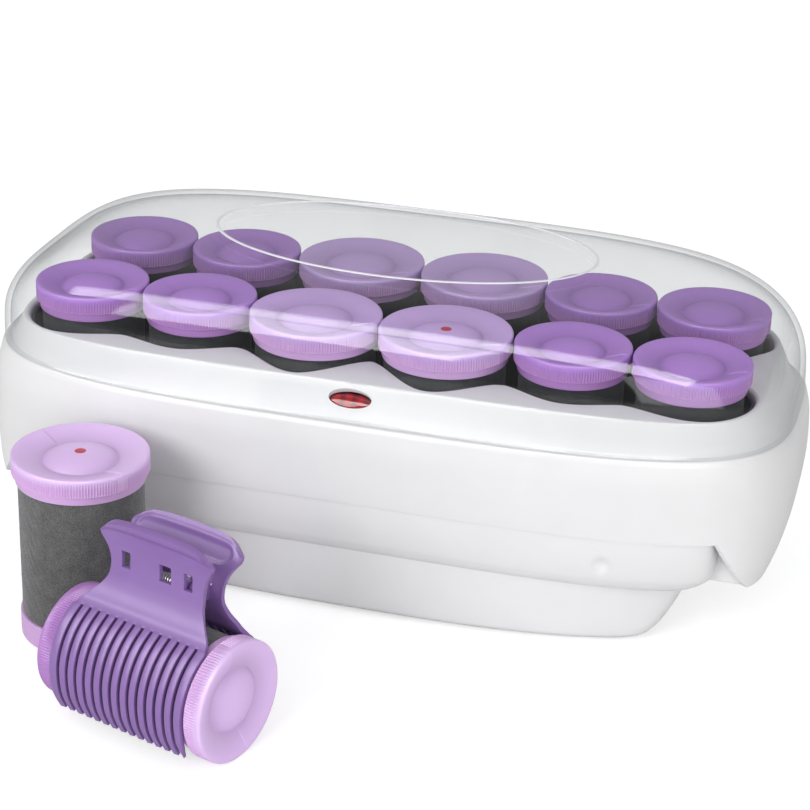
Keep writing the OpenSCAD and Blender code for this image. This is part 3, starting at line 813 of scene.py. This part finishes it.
def make_screws():
    """Pan-head screws with a cross recess, seen in the counterbores."""
    profile = [(0, 1.6), (2.2, 1.6), (3.0, 1.9), (3.2, 2.6), (3.2, 3.7), (2.9, 4.0), (1.5, 4.0)]
    threads, thread_pitch = 14, 1.25
    for z in 4.3 + np.arange(threads) * thread_pitch:
        profile += [(1.2, z), (1.5, z + 0.5), (1.5, z + 0.65), (1.2, z + 1.15)]
    profile += [(0.2, 22.0), (0, 22.0)]
    points, faces = skin(turned(profile, 40))
    part = joined(*[(points + [x, y, 0], faces) for x, y in SCREWS])
    piece = make_piece("housing_screw_set", part, STEEL, "base", "housing_screws", "steel", 40)
    for half_x, half_y in ((1.7, 0.35), (0.35, 1.7)):
        slit = np.array([[-half_x, -half_y], [half_x, -half_y], [half_x, half_y], [-half_x, half_y]])
        cut(piece, [
            skin([flat_ring(slit + place, 0.5), flat_ring(slit * 0.6 + place, 3.0)], capped=True)
            for place in SCREWS
        ])


# -------- lid

def lid_surface(angles, inset=0.0):
    """Distances and heights of the lid's skin from its foot to its middle, even along the skin."""
    levels = np.array(LID_LEVELS, float)
    run = run_along(levels[:, [0, 2]])
    knee, crown, middle, blur, reach_out = run[2], run[6], run[-1], 3.5, 60
    at = np.concatenate([
        np.linspace(0, knee, 16, endpoint=False), np.linspace(knee, crown, 40, endpoint=False),
        np.linspace(crown, middle, 26),
    ])
    even = np.linspace(-20, middle, 900)
    dense = smooth_between(run, levels, np.clip(even, 0, None))
    dense += np.minimum(even, 0)[:, None] * (levels[1] - levels[0]) / (run[1] - run[0])
    spread = np.exp(-((np.arange(-reach_out, reach_out + 1) * (even[1] - even[0]) / blur) ** 2) / 2)
    padded = np.pad(dense, ((reach_out, reach_out), (0, 0)), mode="edge")
    rows = [np.interp(at, even, np.convolve(column, spread / spread.sum(), "valid")) for column in padded.T]
    z, a, b, power = np.array(rows)[..., None]
    slope_z, slope_b = np.gradient(rows[0], at)[:, None], np.gradient(rows[2], at)[:, None]
    steep = np.hypot(slope_z, slope_b)
    a, b = (half - inset * slope_z / steep for half in (a, b))
    distance = ((np.abs(np.cos(angles)) / a) ** power + (np.abs(np.sin(angles)) / b) ** power) ** (-1 / power)
    height = z + inset * slope_b / steep + 0 * distance
    height[0] = LEDGE_Z
    return distance, height


def make_lid():
    """Clear lid: a closed double wall with a rounded foot."""
    angles, half = spread_angles(512), LID_WALL / 2
    foot_z = LEDGE_Z + 0.05 + half
    outer, inner = lid_surface(angles), lid_surface(angles, LID_WALL)
    outside, inside = (round_ring(distance, angles, height) for distance, height in (outer, inner))
    foot = [
        round_ring(outer[0][0] - half - half * math.cos(a), angles, foot_z - half * math.sin(a))
        for a in np.linspace(0.35, math.pi - 0.35, 7)
    ]
    outside[0, :, 2] = inside[0, :, 2] = foot_z
    part = skin(np.concatenate([inside[::-1], foot, outside]), capped=True)
    make_piece("lid_shell", part, CLEAR, "lid", "lid", "clear_lid", 50)


def make_lid_ring():
    """Plain oval line in relief on the lid's top."""
    centre, half_x, half_y = (-3.0, 12.0, 0), 73.0, 39.0
    half_w, line_h, sink, lift = 0.575, 0.3, 0.1, 0.06
    rings = []
    for out, up in [(-half_w, -sink), (-half_w, line_h * 0.6), (-half_w / 2, line_h), (half_w / 2, line_h),
                    (half_w, line_h * 0.6), (half_w, -sink)]:
        ring = flat_oval(half_x + out, half_y + out, 360) + centre
        skin_r, skin_z = lid_surface(np.arctan2(ring[:, 1], ring[:, 0]))
        distance = np.hypot(ring[:, 0], ring[:, 1])
        ring[:, 2] = [np.interp(d, r[::-1], z[::-1]) + up + lift for d, r, z in zip(distance, skin_r.T, skin_z.T)]
        rings.append(ring)
    make_piece("lid_oval_line", skin(rings, looped=True), FROST, "lid", None, "clear_lid", 60)


# -------- rollers

def cap_shape(d, ridges):
    """How a cap's radius and height change round it: knurls on its band and a fine seam on two sides."""
    rim, band, dome = d / 2 + CAP_LIP, ROLLER_LEN - CAP_BAND, DOME_SHARE * (d / 2 + CAP_LIP)
    knurl_low, knurl_high, depth = band + 0.15, ROLLER_LEN - 1.5, 0.4
    seam_w, seam_h, seam_step, plain_half = 0.28, 0.2, 0.22, 1.9

    def shape(angles, radii, heights):
        across = np.sin(angles) * radii
        seam = np.abs(across)
        fade = np.clip((heights - knurl_low) / 0.4, 0, 1) * np.clip((knurl_high - heights) / 0.4, 0, 1)
        on_band = (radii > rim - 0.5) * fade * np.clip((seam - plain_half) / 0.5, 0, 1)
        wave = 0.5 + 0.5 * np.cos(angles * ridges)
        ridge = seam_h * np.exp(-((seam / seam_w) ** 2))
        side = np.where(np.cos(angles) > 0, seam_step, -seam_step)
        step = np.tanh(across / seam_w) * side * np.exp(-((across / 6) ** 2))
        on_dish = np.clip((radii - dome - 1.0) / 0.8, 0, 1) * np.clip((rim - 0.4 - radii) / 1.2, 0, 1)
        on_rim = (radii > rim - 0.4) * (heights > band + 0.3)
        lift = (ridge + step) * on_dish * (heights > ROLLER_LEN - 3.4)
        return radii - depth * (1 - wave**0.7) * on_band + ridge * 0.6 * on_rim, heights + lift

    return shape


def cap_profile(d):
    """Section of a cap: flange, knurled band, rolled rim, dished ring, groove and dome, hollow below."""
    rim, dome, thick = d / 2 + CAP_LIP, DOME_SHARE * (d / 2 + CAP_LIP), 1.6
    flange_z, band_z, top = ROLLER_LEN - CAP_BAND - CAP_FLANGE, ROLLER_LEN - CAP_BAND, ROLLER_LEN
    flange_r, bore = d / 2 + RING_LIP, d / 2 - SLEEVE_WALL
    outside = rounded([
        (bore, flange_z), (flange_r, flange_z), (flange_r, band_z - 0.1), (rim, band_z + 0.15),
        (rim, top), (rim - 2.3, top - 0.25), (dome + 1.6, top - DISH + 0.25),
        (dome + 0.55, top - DISH - 0.25), (dome, top - DISH - 0.15),
    ], [0, 0.5, 0.4, 0.35, 1.3, 1.1, 0.6, 0.3, 0])
    band = [(rim, z) for z in np.linspace(band_z + 0.8, top - 1.5, 8)]
    split = next(k for k, p in enumerate(outside) if p[0] > rim - 1e-6 and p[1] > band_z + 1.5)
    crown = [
        (dome * s, top + 0.05 - (DISH + 0.2) * (0.62 * s**2 + 0.38 * s**7)) for s in np.linspace(0.99, 0.04, 22)
    ]
    under = [(0, top - thick - 0.4), (dome, top - thick - DISH), (bore - 1.5, top - thick - 2.0),
             (bore, top - thick - 3.2)]
    return np.concatenate([outside[:split], band, outside[split:], crown, [(0, top + 0.05)], under])


def cap_part(d, ridges, per_ridge=5):
    """A cap with so many knurls, each drawn with per_ridge columns of faces."""
    return skin(turned(cap_profile(d), ridges * per_ridge, cap_shape(d, ridges)), looped=True)


def ring_part(d, bore, count=160, ridges=0):
    """Ring round a roller's open end, with a chamfer inside. It is smooth, or has knurls round it."""
    outer, inner = d / 2 + RING_LIP, bore + LINER_WALL + 0.05
    knurled = [(outer, z) for z in np.linspace(1.4, RING_H - 1.0, 8)] if ridges else []
    profile = rounded([
        (inner + 0.9, 0), (outer, 0), *knurled, (outer, RING_H), (inner, RING_H), (inner, 1.0),
    ], [0.3, 0.9, *[0] * len(knurled), 0.35, 0.2, 0.2], closed=True)

    def knurls(angles, radii, heights):
        fade = np.clip((heights - 1.3) / 0.8, 0, 1) * np.clip((RING_H - 0.9 - heights) / 0.8, 0, 1)
        return radii - 0.35 * (0.5 - 0.5 * np.cos(angles * ridges)) * fade * (radii > outer - 0.2), heights

    return skin(turned(profile, ridges * 6 if ridges else count, knurls), looped=True)


def flock_shape(seed, depth):
    """Uneven nap: lumps a few millimetres across with fine fuzz over them, the same each run."""
    rng = np.random.default_rng(seed)
    waves = [
        (rng.integers(4, 60), rng.uniform(0.1, 1.6), rng.uniform(0, TURN), rng.uniform(0.4, 1.0))
        for _ in range(26)
    ]

    def shape(angles, radii, heights):
        lumps = sum(w * np.sin(n * angles + k * heights + p) for n, k, p, w in waves) / 6
        fuzz = rng.normal(0, 0.35, radii.shape)
        outside = radii > radii.max() - 0.4
        return radii + np.where(outside, depth * (np.clip(lumps, -1.2, 1.2) + fuzz), 0), heights

    return shape


def sleeve_part(d, around, rows, seed, depth=0.055):
    """Flocked tube between the ring and the cap's flange."""
    low, high = RING_H, ROLLER_LEN - CAP_BAND - CAP_FLANGE
    r = d / 2 - 0.12
    profile = [(r - 0.5, low + 0.02)] + [(r, z) for z in np.linspace(low + 0.25, high - 0.1, rows)]
    profile += [(r - 0.5, high), (d / 2 - SLEEVE_WALL, high), (d / 2 - SLEEVE_WALL, low + 0.02)]
    return skin(turned(profile, around, flock_shape(seed, depth)), looped=True)


def liner_part(bore, count=96):
    """Metal tube inside a roller, with a rolled edge at its open end."""
    outer, low, high = bore + LINER_WALL, 0.5, ROLLER_LEN - CAP_BAND - 0.4
    corners = [(bore, low), (outer, low), (outer, high), (bore, high)]
    return skin(turned(rounded(corners, [0.45, 0.45, 0.1, 0.1], 4, closed=True), count), looped=True)


def upright(x, y, z, turn=0.0):
    """A place in millimetres, turned round the vertical."""
    return Matrix.Translation(Vector((x, y, z)) * MM) @ Matrix.Rotation(turn, 4, "Z")


def make_seated_rollers():
    """Twelve rollers on their posts. Rollers of one size share their meshes, each turned its own way."""
    rng = random.Random(7)
    shared = {}
    for is_super, size, d, bore, ridges, tint in (
        (False, "jumbo", JUMBO_D, JUMBO_BORE, 132, PURPLE), (True, "super", SUPER_D, SUPER_BORE, 152, LAVENDER),
    ):
        shared[is_super] = (
            ("caps", "moulding", mesh_of(f"{size}_caps", joined(cap_part(d, ridges), ring_part(d, bore)), tint), 40),
            ("sleeve", "flock", mesh_of(f"{size}_sleeve", sleeve_part(d, 240, 70, 11), SEATED_FLOCK_PAINTED_SHADE), 60),
            ("liner", "tube", mesh_of(f"{size}_liner", liner_part(bore), ALUMINIUM), 40),
        )
    for row, side in (("front", -1), ("back", 1)):
        for i, (x, y, is_super) in enumerate(SEATS, 1):
            where = upright(x, side * y, SEAT_Z, math.radians(rng.uniform(-20, -2)))
            slots = {"caps": "lavender" if is_super else "purple", "sleeve": "flock", "liner": "aluminium"}
            for kind, look, mesh, sharp in shared[is_super]:
                node = None if kind == "liner" else f"{kind}_{row}_{i}"
                place_mesh(f"{kind}_{row}_{i}_{look}", mesh, f"roller_{row}_{i}", node, slots[kind], sharp, where)


def make_ready_dots():
    """Domed spots of heat-sensing ink on two caps' domes."""
    profile = [(0, 69.95), (2.0, 69.95), (2.0, 70.04), (1.85, 70.14), (1.3, 70.19), (0.6, 70.2), (0, 70.2)]
    spot = mesh_of("ready_spot", skin(turned(profile, 48)), READY_RED)
    x, y, _ = SEATS[3]
    for name, body, node, where in (
        ("ready_dot_seated", "roller_front_4", "ready_dot", upright(x, -y, SEAT_Z)),
        ("ready_dot_standing", "standing_roller", "standing_ready_dot", upright(*STANDING_AT, 0)),
    ):
        place_mesh(name, spot, body, node, "ready_red", 40, where)


def make_loose_roller(kind, d, bore, ridges, ring_ridges, tints, slots, where, seed):
    """A whole roller in four pieces: cap, ring, flocked sleeve and liner."""
    for name, part, material, slot, sharp in (
        ("cap", cap_part(d, ridges, 7), tints[0], slots[0], 40),
        ("ring", ring_part(d, bore, 220, ring_ridges), tints[1], slots[1], 40),
        ("sleeve", sleeve_part(d, 420, 150, seed, 0.06), FLOCK, "flock", 60),
        ("liner", liner_part(bore, 128), ALUMINIUM, "aluminium", 40),
    ):
        make_piece(f"{kind}_{name}_piece", part, material, f"{kind}_roller", f"{kind}_{name}", slot, sharp, where)


def make_loose_rollers():
    """The standing roller, and the lying one that the clip holds."""
    make_loose_roller("standing", SUPER_D, SUPER_BORE, 152, 0, (PINK_LAVENDER, PINK_LAVENDER),
                      ("lavender", "lavender"), upright(*STANDING_AT, 0, math.radians(-30)), 21)
    along = Matrix.Rotation(math.pi / 2, 4, "Y") @ upright(0, 0, -ROLLER_LEN / 2, math.radians(12))
    make_loose_roller("clipped", JUMBO_D, JUMBO_BORE, 132, 132, (PINK_LAVENDER, PURPLE),
                      ("lavender", "purple"), lying_frame() @ along, 22)


# -------- claw clip

def lying_frame():
    """Place of the lying roller: its axis along X, its middle at the origin."""
    return upright(*LYING_AT, LYING_Z, math.radians(LYING_TURN))


def clip_frame():
    """The lying roller's frame turned back by the clip's lean."""
    return lying_frame() @ Matrix.Rotation(math.radians(-CLIP_LEAN), 4, "X")


def jaw_columns():
    """Places across a jaw, whether each strip between two is a slot, and the middle of its strip."""
    slots = [(k - TEETH / 2) * TOOTH_PITCH for k in range(1, TEETH)]
    edges = [-JAW_HALF, *[x + side * SLOT_W / 2 for x in slots for side in (-1, 1)], JAW_HALF]
    places, is_slot, tooth_mid = [], [], []
    for k, (a, b) in enumerate(zip(edges, edges[1:])):
        strips = 2 if k % 2 else 4
        places += [a + (b - a) * s / strips for s in range(strips)]
        is_slot += [bool(k % 2)] * strips
        tooth_mid += [(a + b) / 2] * strips
    return np.array(places + [JAW_HALF]), np.array(is_slot), np.array(tooth_mid + tooth_mid[-1:])


def jaw_half_width(z):
    """Half width of a jaw at each height above the roller's axis."""
    knots = np.array([
        (-30, JAW_HALF), (14, JAW_HALF), (18, 27), (21.5, 24.5), (25, 21.5), (29, 19.6), (33, 19.3), (37, 19.9),
        (41, 21.7), (43.5, 22.9), (45, 23.1), (46.5, 22.7), (48, 21.6), (50, 19),
    ])
    return smooth_between(knots[:, 0], knots[:, 1:], z)[:, 0]


def jaw_middle_line(lowest=-52):
    """Middle of a jaw's wall from its tooth tips up to its handle's top, and the run along it."""
    arc = []
    for a in np.linspace(lowest, 50, 31):
        away = CLIP_R + JAW_T / 2 + 2.0 * max(0.0, (-12 - a) / 40) ** 2
        arc.append((away * math.cos(math.radians(a)), away * math.sin(math.radians(a))))
    upper = [(9.9, 19.4), (8.4, 22), (6.6, 25), (5.3, 28.5), (5.0, 31.5), (5.4, 35.5), (6.5, 40), (8.2, 44.5),
             (9.7, 47.5), (10.3, 48.7), (11.3, 50.6)]
    line = smooth_line(arc + upper, 2 * LINE_HALF)
    return line, run_along(line)


def jaw_part(windows, raised_border, lowest):
    """A jaw: a two-sided sheet with slots between its teeth and windows."""
    tip_len, tooth_len, handle_foot, bead_at, dome_h, dome_half = 8.0, 40.0, 38.5, 0.86, 0.22, 1.2
    line, run = jaw_middle_line(lowest)
    base_x, is_slot, tooth_mid = jaw_columns()
    rise = np.searchsorted(line[:, 1] * (np.arange(len(line)) > LINE_HALF), SLOT_TOP)
    run_slot = run[rise]

    def run_at(z):
        return np.interp(z, line[rise:, 1], run[rise:])

    def on_line(s):
        return np.stack([np.interp(s, run, line[:, k]) for k in range(2)], axis=-1)

    window_low, window_high, run_top = run_at(PIN_Z + 1.2), run_at(PIN_Z + 1.2 + WINDOW_H), run_at(HANDLE_Z)
    stops = [(0.0, run_slot, 66), (run_slot, window_low, 20), (window_low, window_high, 9), (window_high, run_top, 24)]
    rows = np.concatenate([np.linspace(a, b, n, endpoint=False) for a, b, n in stops] + [[run_top]])
    row_z = np.interp(rows, run, line[:, 1])
    above = rows >= run_slot - 1e-6
    width = np.where(above, jaw_half_width(row_z), JAW_HALF)[:, None]
    ease = np.clip((row_z - SLOT_TOP) / 9, 0, 1) * above
    ease = (ease * ease * (3 - 2 * ease))[:, None]
    target_x = squeeze(base_x, windows)
    x = base_x * (1 - ease) + target_x * ease
    keep = np.where(above, np.interp(row_z, [SLOT_TOP, 22.5, 31], [24.6, 18.5, 15.2]), 24.7)[:, None]
    over = np.clip((np.abs(x) - keep) / np.maximum(np.abs(x).max(axis=1)[:, None] - keep, 1e-6), 0, 1)
    x = np.where(np.abs(x) > keep, np.sign(x) * (keep + (width - keep) * over), x)
    tip = np.clip(1 - rows / tip_len, 0, 1)[:, None]
    taper = (1 - 0.3 * np.clip((run_slot - rows[:, None]) / tooth_len, 0, 1)) * (1 - 0.78 * tip**1.3)
    below = (rows < run_slot - 0.4)[:, None]
    x = np.where(below, tooth_mid + (x - tooth_mid) * taper, x)

    share_top = np.clip((rows - run_at(handle_foot)) / (run_top - run_at(handle_foot)), 0, 1)[:, None]
    across = np.clip(np.abs(x) / width, 0, 1)
    shift = (1.5 - 1.0 * across**2 - 3.6 * across**7) * share_top**2
    s = rows[:, None] + shift
    tangent = on_line(s + 0.3) - on_line(s - 0.3)
    tangent /= np.linalg.norm(tangent, axis=-1)[..., None]
    normal = np.stack([tangent[..., 1], -tangent[..., 0]], axis=-1)

    half = JAW_T / 2 * (1 - 0.45 * tip**1.5) + 0 * s
    bead = np.exp(-((np.clip(share_top - bead_at, -1, 0) / 0.10) ** 2)) * (share_top > 0.3)
    dome = dome_h * (1 - np.clip(np.abs(base_x - tooth_mid) / dome_half, 0, 1) ** 2)
    outer_off = half + np.where(below & ~np.append(is_slot, False), dome, 0) + 0.75 * bead
    inner_off = half + 0.45 * bead
    if raised_border:
        inner_off = inner_off + 0.55 * border_relief(x, s - shift, width, run_at)
    middle = on_line(s)
    outer, inner = middle + normal * outer_off[..., None], middle - normal * inner_off[..., None]

    solid = np.ones((len(rows) - 1, len(base_x) - 1), bool)
    row_mid, middles = (rows[1:] + rows[:-1]) / 2, (target_x[1:] + target_x[:-1]) / 2
    solid[np.ix_(row_mid < run_slot, is_slot)] = False
    for centre, w in windows:
        solid[np.ix_((row_mid > window_low) & (row_mid < window_high), np.abs(middles - centre) < w / 2)] = False
    return sheet_solid(x, outer, inner, solid)


def squeeze(base_x, windows):
    """Column places level with the windows: the nearest slot edges move to the windows' sides."""
    anchors = {-JAW_HALF: -20.0, JAW_HALF: 20.0, 0.0: 0.0}
    for centre, w in windows:
        slot = (round(centre / TOOTH_PITCH - 0.5) + 0.5) * TOOTH_PITCH
        low, high = slot - SLOT_W / 2, slot + SLOT_W / 2
        if abs(centre) < 6:
            low, high = high, slot + TOOTH_PITCH - SLOT_W / 2
        anchors[low], anchors[high] = centre - w / 2, centre + w / 2
    known = np.array(sorted(anchors.items()))
    return np.interp(base_x, known[:, 0], known[:, 1])


def border_relief(x, s, width, run_at):
    """Raised line that follows the handle's outline on its inner face."""
    low, high = run_at(40.0), run_at(46.4)
    off_x = (np.abs(x) - (width - 6.0)) / 3.4
    off_s = (s - (low + high) / 2) / ((high - low) / 2)
    off = np.where(off_x > 0, np.hypot(off_x, off_s), np.abs(off_s))
    return np.exp(-(((off - 1.0) / 0.24) ** 2))


def sheet_solid(x, outer, inner, solid):
    """A closed skin over the solid cells of a two-sided grid. outer and inner are across and up."""
    rows, columns = x.shape
    index = np.arange(rows * columns).reshape(rows, columns)
    points = np.vstack([np.concatenate([x[..., None], side], axis=-1).reshape(-1, 3) for side in (outer, inner)])
    faces, shift = [], rows * columns
    for i, j in np.argwhere(solid):
        a, b, c, d = index[i, j], index[i, j + 1], index[i + 1, j + 1], index[i + 1, j]
        faces += [[a, b, c, d], [d + shift, c + shift, b + shift, a + shift]]
        for (di, dj), (p, q) in (((-1, 0), (a, b)), ((0, 1), (b, c)), ((1, 0), (c, d)), ((0, -1), (d, a))):
            ni, nj = i + di, j + dj
            if not (0 <= ni < rows - 1 and 0 <= nj < columns - 1) or not solid[ni, nj]:
                faces.append([q, p, p + shift, q + shift])
    used, renumbered = np.unique(np.array(faces), return_inverse=True)
    return points[used], renumbered.reshape(-1, 4).tolist()


def knuckle_part(x, reach_out):
    """Ear with a round nose that carries the pin, as a prism across the jaw."""
    radius, half = 2.9, 2.0
    outline = [
        (radius * math.cos(a), PIN_Z + radius * math.sin(a)) for a in np.linspace(math.pi / 2, math.pi * 1.5, 22)
    ]
    outline = np.array(outline + [(reach_out, PIN_Z - 3.4), (reach_out, PIN_Z + 3.4)])
    centre = outline.mean(axis=0)
    rings = []
    for across, share in ((-half, 0.9), (-half + 0.3, 1.0), (half - 0.3, 1.0), (half, 0.9)):
        scaled = centre + (outline - centre) * share
        rings.append(np.column_stack([np.full(len(scaled), x + across), scaled]))
    return skin(rings, capped=True)


def rib_part(x, low, high, depth):
    """Thin rib on a handle's inner face, from height low to high."""
    root_half, tip_half = 0.55, 0.35
    upper = jaw_middle_line()[0][LINE_HALF:]
    rings = []
    for share in np.linspace(0, 1, 9):
        z = low + (high - low) * share
        root = np.interp(z, upper[:, 1], upper[:, 0]) - JAW_T / 2
        tip = root - depth * (1.15 - math.sin(math.pi / 2 * min(1, 0.12 + 0.88 * share)))
        rings.append([(x - root_half, root + 0.3, z), (x + root_half, root + 0.3, z),
                      (x + tip_half, tip, z), (x - tip_half, tip, z)])
    return skin(rings, capped=True)


def make_clip():
    """Two jaws with slotted claws and handles, their ears round the pin, and ribs in the handles."""
    for kind, mirrored, lowest, ears, ribs in (
        ("front", True, -52, (-8.3, 8.3), (-6.0, 9.0)), ("rear", False, -50, (-12.6, 12.6), (-10.5, -7.5, 14.5)),
    ):
        points, faces = joined(
            jaw_part(WINDOWS, not mirrored, lowest), *[knuckle_part(x, 4.4) for x in ears],
            *[rib_part(x, 34.0, 40.5, 1.8) for x in ribs],
        )
        if mirrored:
            points, faces = points * [1, -1, 1], [face[::-1] for face in faces]
        node = f"clip_{kind}_jaw"
        piece = make_piece(f"{node}_moulding", (points, faces), CLIP_PURPLE, f"clip_{kind}", node, "clip_purple",
                           34, clip_frame())
        bevel = piece.modifiers.new("soft_edges", "BEVEL")
        bevel.width, bevel.segments, bevel.limit_method = 0.22 * MM, 2, "ANGLE"
        bevel.angle_limit = math.radians(55)
        bevel.use_clamp_overlap = True
        settle(piece, 34)


def make_spring():
    """Torsion spring: a coil round the pin with a leg up the inside of each handle."""
    wire, coil_r, turns, length = 0.42, 2.05, 8, 8.4
    t = np.linspace(0, 1, turns * 28)[14:-1]
    a = t * turns * TURN
    coil = np.stack([(t - 0.5) * length, coil_r * np.cos(a), PIN_Z + coil_r * np.sin(a)], axis=1)
    leg_rise = np.linspace(0.6, 6.4, 9)
    leg = np.stack([0 * leg_rise + length / 2, coil_r + leg_rise * math.tan(math.radians(12)) * 0.6, leg_rise], axis=1)
    path = np.vstack([leg[::-1] * [-1, -1, 1] + [0, 0, PIN_Z], coil, leg + [0, 0, PIN_Z]])
    make_piece("clip_spring_coil", tube_part(path, wire, 10), STEEL, "clip_rear", "clip_spring", "steel", 60,
               clip_frame())


def tube_part(path, radius, sides):
    """A closed round tube along a path, carried along without twist."""
    tangent = np.gradient(path, axis=0)
    tangent /= np.linalg.norm(tangent, axis=1)[:, None]
    side = np.cross(tangent[0], [0.3, 0.5, 0.8])
    turn = (np.arange(sides) * TURN / sides)[:, None]
    rings = []
    for point, along in zip(path, tangent):
        side = side - along * np.dot(side, along)
        side /= np.linalg.norm(side)
        rings.append(point + radius * (np.cos(turn) * side + np.sin(turn) * np.cross(along, side)))
    return skin(rings, capped=True)


# -------- CAD nodes that keep their shape

def dress_cad_nodes():
    """Better materials for the CAD nodes that are shown as they are."""
    looks = {
        "rubber_feet": RUBBER, "heater_plate": ALUMINIUM, "jumbo_heating_posts": ALUMINIUM,
        "super_heating_posts": ALUMINIUM, "heating_element": ELEMENT, "thermostat": STEEL,
        "thermal_fuse": CERAMIC, "terminal_block": CERAMIC, "indicator_lamp": LAMP_GLASS, "clip_pin": STEEL,
    }
    for node, material in looks.items():
        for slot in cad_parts[node].material_slots:
            slot.material = material


make_camera()
make_studio()
make_floor()
make_upper_housing()
make_lower_housing()
make_foot()
make_tray()
make_lens()
make_gland()
make_screws()
make_lid()
make_lid_ring()
make_seated_rollers()
make_loose_rollers()
make_ready_dots()
make_clip()
make_spring()
dress_cad_nodes()
